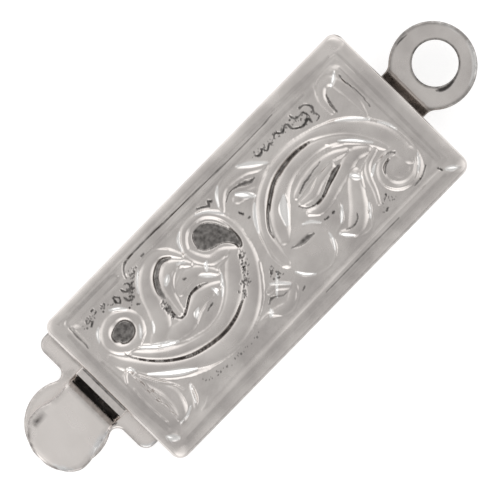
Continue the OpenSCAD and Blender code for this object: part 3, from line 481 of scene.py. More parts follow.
# Broad bright facets: x, y, half width, fall to the right of the stroke as it runs.
facets = {
    "scrollShoulder": [
        (1.58, 4.22, 0.07, 0.05), (2.05, 4.66, 0.15, 0.12), (2.55, 5.06, 0.17, 0.13),
        (3.02, 5.38, 0.07, 0.05),
    ],
    "innerBandShoulder": [
        (2.1, 3.28, 0.06, 0.05), (2.5, 3.62, 0.12, 0.1), (2.95, 3.94, 0.15, 0.12),
        (3.28, 4.14, 0.06, 0.05),
    ],
    "eyeRimNearMouth": [(1.12, 2.0, 0.04, 0.03), (1.3, 1.74, 0.09, 0.08), (1.52, 1.58, 0.04, 0.03)],
    "eyeRimNearPetal": [(2.28, 1.42), (2.55, 1.62, 0.11, 0.1), (2.76, 1.86)],
    "eyeRimFoot": [(2.68, 2.64), (2.53, 2.85, 0.09, 0.08), (2.36, 3.02)],
    "eyeRimTail": [(3.12, 2.9), (3.02, 3.08, 0.08, 0.07), (2.86, 3.24)],
    "petalBack": [(3.52, 1.76, 0.04, 0.03), (3.8, 1.42, 0.07, 0.06), (4.14, 1.14, 0.04, 0.03)],
    "bigEyeCrown": [(5.86, 1.82), (6.02, 1.46, 0.1, 0.09), (6.3, 1.24)],
    "bigEyeShoulder": [(7.22, 1.22), (7.6, 1.44, 0.08, 0.08), (7.98, 1.95)],
    "lobeBead": [(4.5, 2.28, 0.09, 0.05), (4.66, 2.18, 0.14, 0.1), (4.8, 2.1, 0.08, 0.05)],
    "lobeTip": [(5.36, 2.04), (5.5, 2.1, 0.07, 0.06), (5.62, 2.2, 0.04, 0.03)],
    "rimPebble": [(6.22, 2.78, 0.06, 0.04), (6.08, 2.9, 0.11, 0.09), (5.98, 3.04, 0.06, 0.04)],
    "stemStreak": [(6.08, 3.42, 0.04, 0.03), (5.86, 3.2, 0.09, 0.08), (5.66, 2.98, 0.04, 0.03)],
    "lowerLobeLeft": [(4.72, 3.8, 0.06, 0.04), (4.54, 3.9, 0.13, 0.1), (4.42, 4.02, 0.06, 0.04)],
    "lowerLobeRight": [(5.62, 3.98), (5.67, 3.82, 0.09, 0.08), (5.64, 3.66)],
    "innerBandCrest": [(6.3, 3.5, 0.04, 0.03), (6.02, 3.84, 0.08, 0.07), (5.7, 4.14, 0.04, 0.03)],
    "scrollBackFlank": [(7.85, 5.0), (7.5, 5.3, 0.08, 0.06), (7.15, 5.66, 0.04, 0.03)],
    "lowLeafPebble": [(6.62, 5.82, 0.06, 0.05), (6.56, 5.94, 0.11, 0.09), (6.44, 6.0, 0.06, 0.04)],
    "lowTipStreak": [(7.32, 5.12, 0.04, 0.03), (7.6, 5.36, 0.08, 0.07), (7.86, 5.66)],
    "ringScrollBack": [(8.42, 3.42), (8.7, 2.96, 0.11, 0.09), (9.12, 2.52)],
    "innerBandGlow": [(10.1, 3.12, 0.08, 0.03), (9.72, 3.5, 0.24, 0.13), (9.42, 3.98, 0.12, 0.05)],
    "topLeafStreak": [(9.66, 1.06, 0.06, 0.05), (10.08, 1.36, 0.15, 0.12), (10.56, 1.78)],
    "topLeafTurn": [(9.32, 2.34, 0.07, 0.05), (9.1, 2.06, 0.17, 0.12), (8.86, 1.78, 0.08, 0.05)],
    "topLeafRoot": [(8.06, 1.62), (8.28, 1.3, 0.09, 0.08), (8.56, 1.06)],
    "ringScrollShoulder": [(13.55, 2.54), (14.05, 2.94, 0.11, 0.1), (14.5, 3.42, 0.06, 0.05)],
    "ringScrollHip": [(14.66, 3.72), (14.86, 4.06, 0.08, 0.07), (14.96, 4.42)],
    "rightFlank": [(13.08, 3.14), (13.52, 3.58, 0.1, 0.08), (13.95, 4.12)],
    "endLeafPebble": [(14.36, 1.5), (14.62, 1.36, 0.11, 0.1), (14.84, 1.18)],
    "crownPebble": [(12.46, 4.42, 0.09, 0.05), (12.58, 4.58, 0.17, 0.13), (12.68, 4.74, 0.09, 0.05)],
    "trunkLeftStreak": [(11.4, 4.98), (11.16, 5.22, 0.09, 0.08), (10.92, 5.42)],
    "trunkFoot": [(10.56, 5.68), (10.72, 5.9, 0.11, 0.1), (10.92, 6.14)],
    "trunkRightFoot": [(12.2, 5.64, 0.04, 0.03), (12.04, 5.86, 0.08, 0.07), (11.82, 6.1, 0.04, 0.03)],
    "voluteFoot": [(8.34, 5.5), (8.52, 5.82, 0.09, 0.08), (8.82, 6.1)],
    "voluteSide": [(10.3, 5.36, 0.04, 0.03), (10.22, 5.66, 0.08, 0.07), (10.0, 5.98, 0.04, 0.03)],
    "voluteCrown": [(9.84, 4.42), (10.12, 4.56, 0.09, 0.08), (10.36, 4.86)],
    "smallVoluteSide": [(13.02, 5.02), (13.2, 4.9, 0.08, 0.06), (13.42, 4.78, 0.04, 0.03)],
    "smallVoluteFoot": [(14.86, 5.66, 0.04, 0.03), (14.66, 5.94, 0.07, 0.06), (14.36, 6.16, 0.04, 0.03)],
    "cornerCurlBead": [(1.14, 3.5, 0.05, 0.03), (1.24, 3.6, 0.09, 0.07), (1.3, 3.72, 0.05, 0.03)],
    "crescentStreak": [(2.42, 5.62, 0.04, 0.03), (2.24, 5.96, 0.07, 0.06), (2.06, 6.26, 0.04, 0.03)],
    "cornerFootStreak": [(1.84, 6.22, 0.04, 0.03), (1.5, 6.38, 0.06, 0.05), (1.12, 6.4, 0.04, 0.03)],
    "frameCornerMouth": [(0.36, 6.42, 0.1, 0.05), (0.5, 6.6, 0.17, 0.1), (0.64, 6.74, 0.1, 0.05)],
    "frameCornerRing": [(15.2, 6.86, 0.08, 0.05), (15.38, 7.0, 0.15, 0.09), (15.54, 7.12, 0.08, 0.05)],
}
fillIn(facets, 0.05, 0.04)

# Dotted trails where an old cut has nearly worn away: the path, its spread, how many dots,
# the smallest and the largest dot, and their depth.
trails = {
    "grooveEnd": ([(6.25, 4.78), (6.7, 4.4), (7.1, 3.98), (7.45, 3.5)], 0.15, 80, 0.025, 0.06, 0.03),
    "petalFoot": ([(4.02, 2.62), (3.86, 3.0), (3.84, 3.4)], 0.14, 42, 0.025, 0.055, 0.03),
    "scrollFoot": ([(2.7, 5.9), (3.6, 6.12), (4.6, 6.2), (5.8, 6.16)], 0.1, 26, 0.02, 0.045, 0.02),
    "highCorner": ([(1.1, 1.25), (1.6, 1.1), (2.1, 1.15), (2.5, 1.3)], 0.14, 38, 0.02, 0.06, 0.02),
    "petalSide": ([(2.9, 1.9), (3.3, 1.6), (3.7, 1.2), (4.1, 0.98)], 0.15, 52, 0.02, 0.065, 0.02),
    "wormGround": ([(10.5, 1.3), (11.4, 1.3), (12.3, 1.4), (13.1, 1.7)], 0.24, 64, 0.02, 0.055, 0.02),
    "trunkSide": ([(12.3, 6.35), (12.8, 5.9), (13.0, 6.3)], 0.12, 26, 0.02, 0.045, 0.02),
    "scrollBack": ([(7.55, 5.1), (7.75, 4.75), (7.85, 5.25)], 0.12, 22, 0.02, 0.06, 0.02),
}

# The frame's four sides: distance in from the edge, height.
frameSides = {
    "high": [
        (0.0, 2.66), (0.02, 2.75), (0.06, 2.83), (0.12, 2.875), (0.22, 2.92), (0.34, 2.965),
        (0.42, 2.995), (0.48, 2.965), (0.55, 2.945), (0.7, 2.94), (0.8, 2.935), (0.95, 2.9), (1.3, 2.82),
    ],
    "low": [
        (0.0, 2.64), (0.02, 2.73), (0.06, 2.8), (0.12, 2.845), (0.22, 2.9), (0.36, 2.965), (0.5, 2.985),
        (0.6, 2.97), (0.7, 2.955), (0.85, 2.92), (1.0, 2.88), (1.3, 2.82),
    ],
    "mouth": [
        (0.0, 2.64), (0.02, 2.73), (0.06, 2.81), (0.12, 2.86), (0.22, 2.91), (0.36, 2.955), (0.5, 2.965),
        (0.65, 2.955), (0.9, 2.91), (1.3, 2.84),
    ],
    "ring": [
        (0.0, 2.66), (0.02, 2.75), (0.06, 2.82), (0.12, 2.865), (0.22, 2.915), (0.36, 2.965), (0.5, 2.98),
        (0.58, 2.965), (0.66, 2.95), (0.8, 2.945), (0.92, 2.92), (1.3, 2.84),
    ],
}

# Soft lines of the frame's moulding: x, y, half width, depth.
mouldingLines = {
    "highOuter": [
        (0.55, 0.42, 0.068, 0.016), (2.0, 0.36), (6.0, 0.34), (10.0, 0.42), (13.0, 0.52),
        (15.1, 0.62, 0.068, 0.016),
    ],
    "highInner": [
        (0.78, 1.0, 0.051, 0.016), (0.76, 0.68), (0.95, 0.55), (2.0, 0.53), (3.1, 0.54),
        (3.42, 0.68, 0.068, 0.024), (3.3, 0.84, 0.068, 0.024), (2.6, 0.86, 0.051, 0.016),
    ],
    "highFoot": [(4.6, 0.92, 0.051, 0.016), (7.0, 0.9), (10.0, 0.9), (13.4, 0.92, 0.068, 0.016)],
    "mouthOuter": [
        (0.5, 1.0, 0.085, 0.016), (0.46, 2.5, 0.119, 0.024), (0.46, 4.5, 0.119, 0.024),
        (0.55, 6.2, 0.085, 0.016),
    ],
    "mouthInner": [(0.62, 2.6, 0.068, 0.016), (0.66, 3.6), (0.62, 5.0), (0.68, 6.2, 0.068, 0.016)],
    "ringOuter": [
        (15.44, 0.8, 0.051, 0.016), (15.44, 2.2, 0.085, 0.032), (15.4, 4.0), (15.36, 6.4, 0.068, 0.024),
    ],
    "ringInner": [(15.12, 1.2, 0.051, 0.016), (15.12, 3.0), (15.16, 5.0), (15.18, 6.4, 0.068, 0.016)],
    "lowOuter": [
        (0.9, 7.02, 0.085, 0.016), (3.0, 6.98, 0.102, 0.024), (8.0, 6.96, 0.102, 0.024),
        (12.0, 6.98, 0.102, 0.024), (15.0, 7.0, 0.085, 0.016),
    ],
    "lowInner": [
        (2.2, 6.72, 0.085, 0.016), (4.5, 6.66, 0.102, 0.024), (8.0, 6.6, 0.102, 0.024),
        (12.0, 6.58, 0.102, 0.024), (15.0, 6.6, 0.085, 0.016),
    ],
}
fillIn(mouldingLines, 0.085, 0.024)

frameLook = {
    "cornerBlend": 0.5,      # rounds the frame's corners
    "bandStart": 0.42, "bandEnd": 0.80, "wider": 0.20, "widerFrom": 9.0, "widerTo": 15.5,
    # where each side gives way to the ornament
    "highLedge": 0.78, "highFoot": 1.25, "lowLedge": 0.60, "lowFoot": 1.35,
    "mouthLedge": 0.40, "mouthFoot": 1.0, "ringLedge": 0.66, "ringFoot": 1.25,
}


def smoothPath(rows, perSpan=6):
    # passes through every row, with the width and height eased in the same way
    rows = np.array(rows, float)
    if len(rows) == 2:
        return rows
    ends = np.vstack([2 * rows[0] - rows[1], rows, 2 * rows[-1] - rows[-2]])
    path = []
    for k in range(len(rows) - 1):
        p0, p1, p2, p3 = ends[k:k + 4]
        for t in np.arange(perSpan) / perSpan:
            path.append(0.5 * (2 * p1 + (p2 - p0) * t + (2 * p0 - 5 * p1 + 4 * p2 - p3) * t ** 2
                               + (3 * p1 - p0 - 3 * p2 + p3) * t ** 3))
    path.append(rows[-1])
    return np.array(path)


def strokeNear(x, y, rows):
    # for each point: distance from the stroke in half widths, the stroke's height there,
    # and which side the point is on (above 0 is to the right as the stroke runs)
    path = smoothPath(rows)
    share = np.full(x.shape, 9.0)
    height = np.zeros(x.shape)
    side = np.zeros(x.shape)
    for a, b in zip(path[:-1], path[1:]):
        reach = 1.3 * max(a[2], b[2])
        inside = np.nonzero((x > min(a[0], b[0]) - reach) & (x < max(a[0], b[0]) + reach)
                            & (y > min(a[1], b[1]) - reach) & (y < max(a[1], b[1]) + reach))
        if not len(inside[0]):
            continue
        px, py = x[inside] - a[0], y[inside] - a[1]
        dx, dy = b[0] - a[0], b[1] - a[1]
        t = np.clip((px * dx + py * dy) / max(dx * dx + dy * dy, 1e-9), 0, 1)
        width = np.maximum(a[2] + (b[2] - a[2]) * t, 0.01)
        gap = np.hypot(px - t * dx, py - t * dy) / width
        better = gap < share[inside]
        where = tuple(index[better] for index in inside)
        share[where] = gap[better]
        height[where] = (a[3] + (b[3] - a[3]) * t)[better]
        side[where] = ((dx * py - dy * px) / max(math.hypot(dx, dy), 1e-9) / width)[better]
    return share, height, side


def softMax(a, b, k):
    mix = np.maximum(k - np.abs(a - b), 0) / k
    return np.maximum(a, b) + mix * mix * k / 4


def outlineDistance(x, y, outline, perSpan=4):
    # distance to a closed outline, negative inside
    rows = np.array(outline + outline[:1], float)
    closed = smoothPath(rows, perSpan)
    gap = np.full(x.shape, 9.0)
    inside = np.zeros(x.shape, bool)
    for a, b in zip(closed[:-1], closed[1:]):
        dx, dy = b - a
        t = np.clip(((x - a[0]) * dx + (y - a[1]) * dy) / max(dx * dx + dy * dy, 1e-12), 0, 1)
        gap = np.minimum(gap, np.hypot(x - a[0] - t * dx, y - a[1] - t * dy))
        crosses = (a[1] > y) != (b[1] > y)
        with np.errstate(divide="ignore", invalid="ignore"):
            inside ^= crosses & (x < dx * (y - a[1]) / dy + a[0])
    return np.where(inside, -gap, gap)


def bandShape(share):
    # cross-section of a raised band: a gentle crown with a quicker fall at its edges
    s = np.clip(share, 0, 1)
    flat = reliefLook["flatShare"]
    return flat * (1 - s ** 6) + (1 - flat) * (1 - s * s)


def ornamentRise(x, y):
    rise = np.zeros(x.shape)
    k = reliefLook["blend"]
    for rows in bands.values():
        share, height, _ = strokeNear(x, y, rows)
        rise = softMax(rise, bandShape(share) * height * (share < 1), k)
    for cx, cy, rx, ry, halfWidth, height in curlRings.values():
        radial = np.hypot((x - cx) / rx, (y - cy) / ry)
        share = np.abs(radial - 1) * (rx + ry) / 2 / halfWidth
        rise = softMax(rise, bandShape(share) * height * (share < 1), k)
    for cx, cy, rx, ry, height in bosses.values():
        share = np.hypot((x - cx) / rx, (y - cy) / ry)
        rise = softMax(rise, bandShape(share) * height * (share < 1), k)
    rise *= reliefLook["riseScale"]
    # the ground between the bands is punched all over with a blunt matting tool
    punched = np.sin(31 * x + 9 * y) * np.sin(27 * y - 11 * x + 1.3)
    rolling = np.sin(9.1 * x + 3.3 * y) * np.sin(7.7 * y - 4.1 * x + 1.3)
    ground = reliefLook["matting"] * punched + reliefLook["rolling"] * rolling
    return rise + ground * np.clip(1 - rise / 0.05, 0, 1)


def trailDots(trail, seed):
    # small round pits strewn along a path, always the same ones
    places, spread, count, small, large, _ = trail
    chance = np.random.default_rng(seed)
    path = smoothPath([(px, py, 0, 0) for px, py in places])
    along = chance.random(count) * (len(path) - 1)
    dots = []
    for at in along:
        k = int(at)
        px, py = path[k, :2] + (path[k + 1, :2] - path[k, :2]) * (at - k)
        away = chance.normal(0, spread / 2, 2)
        size = small + (large - small) * chance.random() ** 2
        dots.append((px + away[0], py + away[1], size))
    return dots


def frameLevel(x, y):
    # height of the frame's moulding, and how far the ornament has taken over from it
    look = frameLook
    length, width = faceSize["length"], faceSize["width"]
    high = y < width / 2
    mouth = x < length / 2
    across = np.where(high, y - faceSize["highEdge"], width + faceSize["highEdge"] - y)
    along = np.where(mouth, x, length - x)
    start = look["bandStart"] + look["wider"] * smoothStep(x, look["widerFrom"], look["widerTo"])
    narrow = np.where(across < start, across * look["bandStart"] / start,
                      look["bandStart"] + (across - start) * (look["bandEnd"] - look["bandStart"])
                      / (look["bandEnd"] - start))
    across = np.where(high & (across < look["bandEnd"]), narrow, across)
    k = look["cornerBlend"]
    bend = np.maximum(k - np.abs(along - across), 0) / k
    inset = np.minimum(along, across) - bend * bend * k / 4
    sideShare = smoothStep(along - across, -k / 2, k / 2)

    def profile(name):
        rows = smoothPath(frameSides[name], 4)
        return np.interp(inset, rows[:, 0], rows[:, 1])

    def given(ledge, foot):
        return smoothStep(inset, look[ledge], look[foot])

    sideZ = np.where(high, profile("high"), profile("low"))
    endZ = np.where(mouth, profile("mouth"), profile("ring"))
    sideIn = np.where(high, given("highLedge", "highFoot"), given("lowLedge", "lowFoot"))
    endIn = np.where(mouth, given("mouthLedge", "mouthFoot"), given("ringLedge", "ringFoot"))
    level = sideZ * sideShare + endZ * (1 - sideShare)
    taken = sideIn * sideShare + endIn * (1 - sideShare)
    return level, taken, inset


def faceHeight(x, y):
    # height of the stamped face at points read from above, how dark its old cuts and its painted shade
    # are, and where painted highlights brighten it
    rise = ornamentRise(x, y)
    fine = np.zeros(x.shape)
    dark = np.zeros(x.shape)
    bright = np.zeros(x.shape)
    for rows in beads.values():
        share, height, _ = strokeNear(x, y, rows)
        fine += np.clip(1 - share ** 2, 0, 1) ** 1.3 * height * reliefLook["beadScale"]
    for rows in facets.values():
        share, fall, side = strokeNear(x, y, rows)
        near = np.clip(1 - share ** 2, 0, 1) ** 1.5
        fine -= near * fall * (0.35 + side) * reliefLook["facetScale"]
        # each facet is also painted with the highlight colour, a painted highlight
        bright = np.maximum(bright, smoothStep(near, 0.05, 0.6))
    for table, kind in ((grooves, "cuts"), (groundMarks, "marks"), (mouldingLines, "moulding")):
        for rows in table.values():
            share, depth, _ = strokeNear(x, y, rows)
            s = np.clip(share, 0, 1)
            fine -= (1 - s * s) * depth * reliefLook["grooveScale"]
            dark = np.maximum(dark, tarnishAndLowShade[kind] * smoothStep(1.15 - share, 0.0, 0.55))
    for seed, trail in enumerate(trails.values()):
        for px, py, size in trailDots(trail, seed):
            near = np.clip(1 - ((x - px) ** 2 + (y - py) ** 2) / size ** 2, 0, 1)
            fine -= near * trail[-1]
            dark = np.maximum(dark, tarnishAndLowShade["pits"] * smoothStep(near, 0.0, 0.5))
    for outline in eyes.values():
        gap = outlineDistance(x, y, outline)
        sunk = smoothStep(-gap, -0.03, 0.05)
        fine -= sunk * reliefLook["eyeDepth"]
        dark = np.maximum(dark, tarnishAndLowShade["eyes"] * smoothStep(-gap, -0.04, 0.02))
    level, taken, inset = frameLevel(x, y)
    field = reliefLook["groundHeight"] + rise
    z = level * (1 - taken) + field * taken + fine
    # the low long side gets a painted dark line at its edge and painted shade on its slope towards the
    # ornament
    lowSide = (y > faceSize["width"] / 2)
    edgeEnds = smoothStep(np.abs(x - faceSize["length"] / 2), 8.2, 7.0)
    edgeLine = smoothStep(0.11 - inset, 0.0, 0.05) * lowSide * edgeEnds * tarnishAndLowShade["lowEdge"]
    lowSlope = smoothStep(y, 5.9, 6.35) * fadeOut(y, 6.6, 6.75) * tarnishAndLowShade["lowSlope"]
    dark = np.maximum(dark, np.maximum(edgeLine, lowSlope * (inset > 0.5)))
    return np.minimum(z, faceSize["top"]), dark, bright


def readingOf(x, y):
    # model x and y as the strokes of the face read them
    return x - mouthX, faceSize["shift"] - y


# The stamped box
boxSize = {
    "cellsAlong": 396, "cellsAcross": 174, "gridInset": 0.36, "arcCells": 11,
    "edgeInsets": (0.30, 0.24, 0.18, 0.13, 0.09, 0.06, 0.035, 0.015, 0.0),
    # the walls from the face's edge down over the seam to the back: distance in, height
    "wallLoops": ((0, 2.4), (0, 0.50), (0, 0.47), (0.02, 0.45), (0, 0.43), (0, 0.06), (0.02, 0.015),
                  (0.06, 0)),
    "plate": 0.45, "wall": 0.25, "roof": 2.2, "hollowCells": (40, 30, 6),
    "cutFrom": -9, "cutTo": -7.5,      # how far along the mouth's cuts reach
    "mouthHeight": 0.97, "notchHeight": 0.45, "notchRise": 0.3, "notchLow": -1.0, "notchHigh": 1.7,
}


def boxOutline(inset, radius, cellsAlong, cellsAcross, arcCells):
    # points round the outline, corner to corner, the same number at every inset
    halfX = faceSize["length"] / 2 - inset
    halfY = faceSize["width"] / 2 - inset
    centreX, centreY = halfX - radius, halfY - radius
    points = []
    for side, cells in enumerate((cellsAlong, cellsAcross, cellsAlong, cellsAcross)):
        turn = math.radians(90 * side)
        for i in range(cells):
            if i < arcCells:
                angle = -135 + 45 * i / arcCells
                along, square = -1, math.radians(angle)
            elif i > cells - arcCells:
                angle = -90 + 45 * (i - cells + arcCells) / arcCells
                along, square = 1, math.radians(angle)
            else:
                along = -1 + 2 * (i - arcCells) / (cells - 2 * arcCells)
                square = math.radians(-90)
            reachX, reachY = (centreX, centreY) if side % 2 == 0 else (centreY, centreX)
            px = along * reachX + radius * math.cos(square)
            py = -reachY + radius * math.sin(square)
            c, s = round(math.cos(turn)), round(math.sin(turn))
            points.append((px * c - py * s, px * s + py * c))
    return np.array(points)


def makeBox():
    nx, ny = boxSize["cellsAlong"], boxSize["cellsAcross"]
    inset, arc = boxSize["gridInset"], boxSize["arcCells"]
    halfX = faceSize["length"] / 2 - inset
    halfY = faceSize["width"] / 2 - inset
    xs, ys = np.linspace(-halfX, halfX, nx + 1), np.linspace(-halfY, halfY, ny + 1)
    gx, gy = np.meshgrid(xs, ys)
    gz = faceHeight(*readingOf(gx, gy))[0]
    points = list(zip(gx.ravel(), gy.ravel(), gz.ravel()))
    faces = gridFaces(nx, ny)
    previous = gridBorder(nx, ny)
    borderXY = np.array([(points[k][0], points[k][1]) for k in previous])
    loops = []
    for at in boxSize["edgeInsets"]:
        step = 1 - at / inset
        radius = faceSize["cornerRadius"] * step if at > 0.02 else faceSize["cornerRadius"]
        target = boxOutline(at, max(radius, 0.001), nx, ny, arc)
        straight = borderXY * np.array([(halfX + inset - at) / halfX, (halfY + inset - at) / halfY])
        share = smoothStep(np.array(step), 0.0, 0.5)
        loop = straight * (1 - share) + target * share
        loops.append((loop, faceHeight(*readingOf(loop[:, 0], loop[:, 1]))[0]))
    for at, z in boxSize["wallLoops"]:
        outline = boxOutline(at, faceSize["cornerRadius"] - at, nx, ny, arc)
        loops.append((outline, np.full(len(outline), z)))
    for loop, heights in loops:
        now = list(range(len(points), len(points) + len(loop)))
        points += [(p[0], p[1], z) for p, z in zip(loop, heights)]
        faces += joinLoops(previous, now)
        previous = now
    faces.append(tuple(reversed(previous)))
    return meshFrom("stampedBox", points, faces)


def makePrism(name, outline, low, high):
    n = len(outline)
    points = [(x, y, low) for x, y in outline] + [(x, y, high) for x, y in outline]
    faces = [tuple(reversed(range(n))), tuple(range(n, 2 * n))]
    faces += [(k, (k + 1) % n, n + (k + 1) % n, n + k) for k in range(n)]
    return meshFrom(name, points, faces)


endRing = {
    "rimX": 9.7, "rimY": 0.03, "rimRadius": 1.722, "holeX": 9.83, "holeRadius": 0.9,
    "neckHalf": 1.14, "neckStart": 7.5, "fillet": 0.49, "thick": 0.45,
    "climbStart": 7.98, "climbEnd": 8.4, "climbHeight": 0.5,
    "edgeRound": 0.09, "edgeWidth": 0.10, "rubbedWidth": 0.24, "rubbedTowards": -42,
    "holeRound": 0.06, "turns": 220, "rows": 20, "backRows": 4,
    "firstStep": 0.05, "lastStep": 3.6, "steps": 900,    # search for the outline
}


def ringReach(angles):
    # how far the ring and neck reach from the hole's middle in each direction
    r = endRing
    neckY = r["neckHalf"]
    filletX = r["rimX"] - math.sqrt((r["rimRadius"] + r["fillet"]) ** 2 - (neckY + r["fillet"]) ** 2)
    touchX = filletX + (r["rimX"] - filletX) * r["fillet"] / (r["rimRadius"] + r["fillet"])

    def inside(x, y):
        dy = np.abs(y - r["rimY"])
        disc = np.hypot(x - r["rimX"], dy) < r["rimRadius"]
        neck = (x > r["neckStart"]) & (x < r["rimX"]) & (dy < neckY)
        web = ((x > filletX) & (x < touchX) & (dy < neckY + r["fillet"])
               & (np.hypot(x - filletX, dy - neckY - r["fillet"]) > r["fillet"]))
        return disc | neck | web

    # march outwards, so that the reach ends at the first edge that is met
    steps = np.linspace(r["holeRadius"] + r["firstStep"], r["lastStep"], r["steps"])
    met = inside(r["holeX"] + np.outer(np.cos(angles), steps), r["rimY"] + np.outer(np.sin(angles), steps))
    return steps[np.maximum(np.argmin(met, axis=1) - 1, 0)]


def ringSection():
    # once round the section: what the point is measured from, how far, and its height
    r = endRing
    half = r["thick"] / 2
    top = [("hole", r["holeRound"] * (1 + math.cos(a)), half - r["holeRound"] * (1 - math.sin(a)))
           for a in np.radians(np.linspace(180, 90, 5))]
    top += [("face", t, half) for t in np.linspace(0, 1, r["rows"])[1:-1]]
    rim = [("rim", 1 - math.cos(a), half - r["edgeRound"] * (1 - math.sin(a)))
           for a in np.radians(np.linspace(90, 0, 7))]
    back = [("face", t, -half) for t in np.linspace(1, 0, r["backRows"])[1:-1]]
    hole = [(kind, value, -z) for kind, value, z in reversed(top[:5])]
    return top + rim + [(kind, value, -z) for kind, value, z in reversed(rim[:-1])] + back + hole


def makeEndRing():
    r = endRing
    angles = np.linspace(0, 2 * math.pi, r["turns"], endpoint=False)
    reach = ringReach(angles)
    half = r["thick"] / 2
    section = ringSection()
    points = []
    for angle, far in zip(angles, reach):
        highlight = max(0.0, math.cos(angle - math.radians(r["rubbedTowards"]))) ** 2
        edge = r["edgeWidth"] + (r["rubbedWidth"] - r["edgeWidth"]) * highlight
        nearEnd, farEnd = r["holeRadius"] + r["holeRound"], far - edge
        for kind, value, z in section:
            if kind == "hole":
                d = r["holeRadius"] + value
            elif kind == "rim":
                d = far - edge * value
            else:
                d = nearEnd + (farEnd - nearEnd) * value
            x, y = r["holeX"] + d * math.cos(angle), r["rimY"] + d * math.sin(angle)
            climb = float(smoothStep(np.array(x), r["climbStart"], r["climbEnd"]))
            points.append((x, y, half + r["climbHeight"] * climb + z))
    n, m = len(angles), len(section)
    faces = [(a * m + b, a * m + (b + 1) % m, ((a + 1) % n) * m + (b + 1) % m, ((a + 1) % n) * m + b)
             for a in range(n) for b in range(m)]
    return meshFrom("endRing", points, faces)


def outwardFaces(piece):
    bpy.context.view_layer.objects.active = piece
    work = bmesh.new()
    work.from_mesh(piece.data)
    bmesh.ops.recalc_face_normals(work, faces=work.faces)
    work.to_mesh(piece.data)
    work.free()


stampedBox = makeBox()
outwardFaces(stampedBox)
print("face grid made:", len(stampedBox.data.polygons), "faces")
ringPiece = makeEndRing()
outwardFaces(ringPiece)
combine(stampedBox, ringPiece, "UNION")


def cutMouth(name, lowY, highY, bottom, top):
    # a square cut through the wall at the mouth's end
    outer, inner = boxSize["cutFrom"], boxSize["cutTo"]
    outline = [(outer, lowY), (inner, lowY), (inner, highY), (outer, highY)]
    combine(stampedBox, makePrism(name, outline, bottom, top), "DIFFERENCE")


wall, plate = boxSize["wall"], boxSize["plate"]
hollowRadius = faceSize["cornerRadius"] - wall
hollowOutline = [tuple(p) for p in boxOutline(wall, hollowRadius, *boxSize["hollowCells"])]
combine(stampedBox, makePrism("hollow", hollowOutline, plate, boxSize["roof"]), "DIFFERENCE")
mouthHalf = faceSize["width"] / 2 - wall
mouthTop = plate + boxSize["mouthHeight"]
cutMouth("mouthCut", -mouthHalf, mouthHalf, plate, mouthTop)
cutMouth("notchCut", boxSize["notchLow"], boxSize["notchHigh"], plate + boxSize["notchRise"],
         mouthTop + boxSize["notchHeight"])
print("box hollowed:", len(stampedBox.data.polygons), "faces")


# The folded tongue
tongueSize = {
    "middleY": 0.45, "baseLow": 0.50, "thick": 0.35, "baseHalf": 2.97,
    "lugX": -9.96, "lugRadius": 1.67, "holeX": -10.08, "holeRadius": 0.9, "lugFillet": 0.33,
    "shoulderX": -8.66, "shoulderRadius": 0.45, "taperStart": 3.99, "taperEnd": 4.79,
    "foldX": 5.99, "leafHalf": 2.45, "leafMiddle": 1.145, "edgeRound": 0.11,
    "catchX": -7.6, "tipX": -11.645, "tipRound": 0.24,
    "pillow": 0.13, "pillowFrom": 1.6, "pillowTo": 2.2,     # fall of the tab's sides, and where it sets in
    "cell": 0.05, "longCell": 0.5, "seenX": -7.9,            # fine cells only where the plate is seen
    "foldRows": 19, "leafRows": 60, "stripRows": 6, "tabRows": 110, "tipRows": 18, "tipFrom": 3.4,
    "overCells": 60, "underCells": 14,
}

# Side view of the leaf outside the mouth: distance out, rise of the sheet's middle.
tabRise = [
    (0.0, 0.0), (0.36, 0.0), (0.46, 0.035), (0.54, 0.105), (0.61, 0.21), (0.68, 0.36),
    (0.75, 0.5), (0.84, 0.61), (0.96, 0.68), (1.1, 0.72), (1.25, 0.735), (1.78, 0.735),
    (1.9, 0.745), (2.04, 0.79), (2.2, 0.82), (2.5, 0.84), (2.8, 0.84), (3.1, 0.8), (3.35, 0.72),
    (3.52, 0.62), (3.66, 0.49),
]
# Edges of the strip and tab as read from above: distance out, upper side y, lower side y.
tabEdges = [
    (0.0, 2.18, 4.62), (0.7, 2.2, 4.62), (1.1, 2.26, 4.66), (1.5, 2.28, 4.74), (1.9, 2.22, 4.84),
    (2.2, 2.13, 4.93), (2.5, 2.09, 4.97), (2.8, 2.12, 4.95), (3.05, 2.24, 4.82), (3.25, 2.42, 4.62),
    (3.42, 2.68, 4.34), (3.54, 2.95, 4.05), (3.62, 3.2, 3.8), (3.66, 3.4, 3.62),
]


def plateOutline():
    # the base seen from above, outside in: lug, fillets, shoulders and the narrowed far end
    t = tongueSize
    m = t["middleY"]
    filletX = t["shoulderX"] - t["lugFillet"]
    dx = filletX - t["lugX"]
    dy = math.sqrt((t["lugRadius"] + t["lugFillet"]) ** 2 - dx ** 2)
    meet = math.degrees(math.atan2(dy, dx))
    half = arcPoints(t["lugX"], 0, t["lugRadius"], 180, meet, 40)
    half += arcPoints(filletX, dy, t["lugFillet"], 180 + meet, 360, 10)[1:]
    half += arcPoints(t["shoulderX"] + t["shoulderRadius"], t["baseHalf"] - t["shoulderRadius"],
                      t["shoulderRadius"], 180, 90, 12)
    half += [(t["taperStart"], t["baseHalf"]), (t["taperEnd"], t["leafHalf"]), (t["foldX"], t["leafHalf"])]
    return [(x, m + y) for x, y in half] + [(x, m - y) for x, y in reversed(half[1:])]


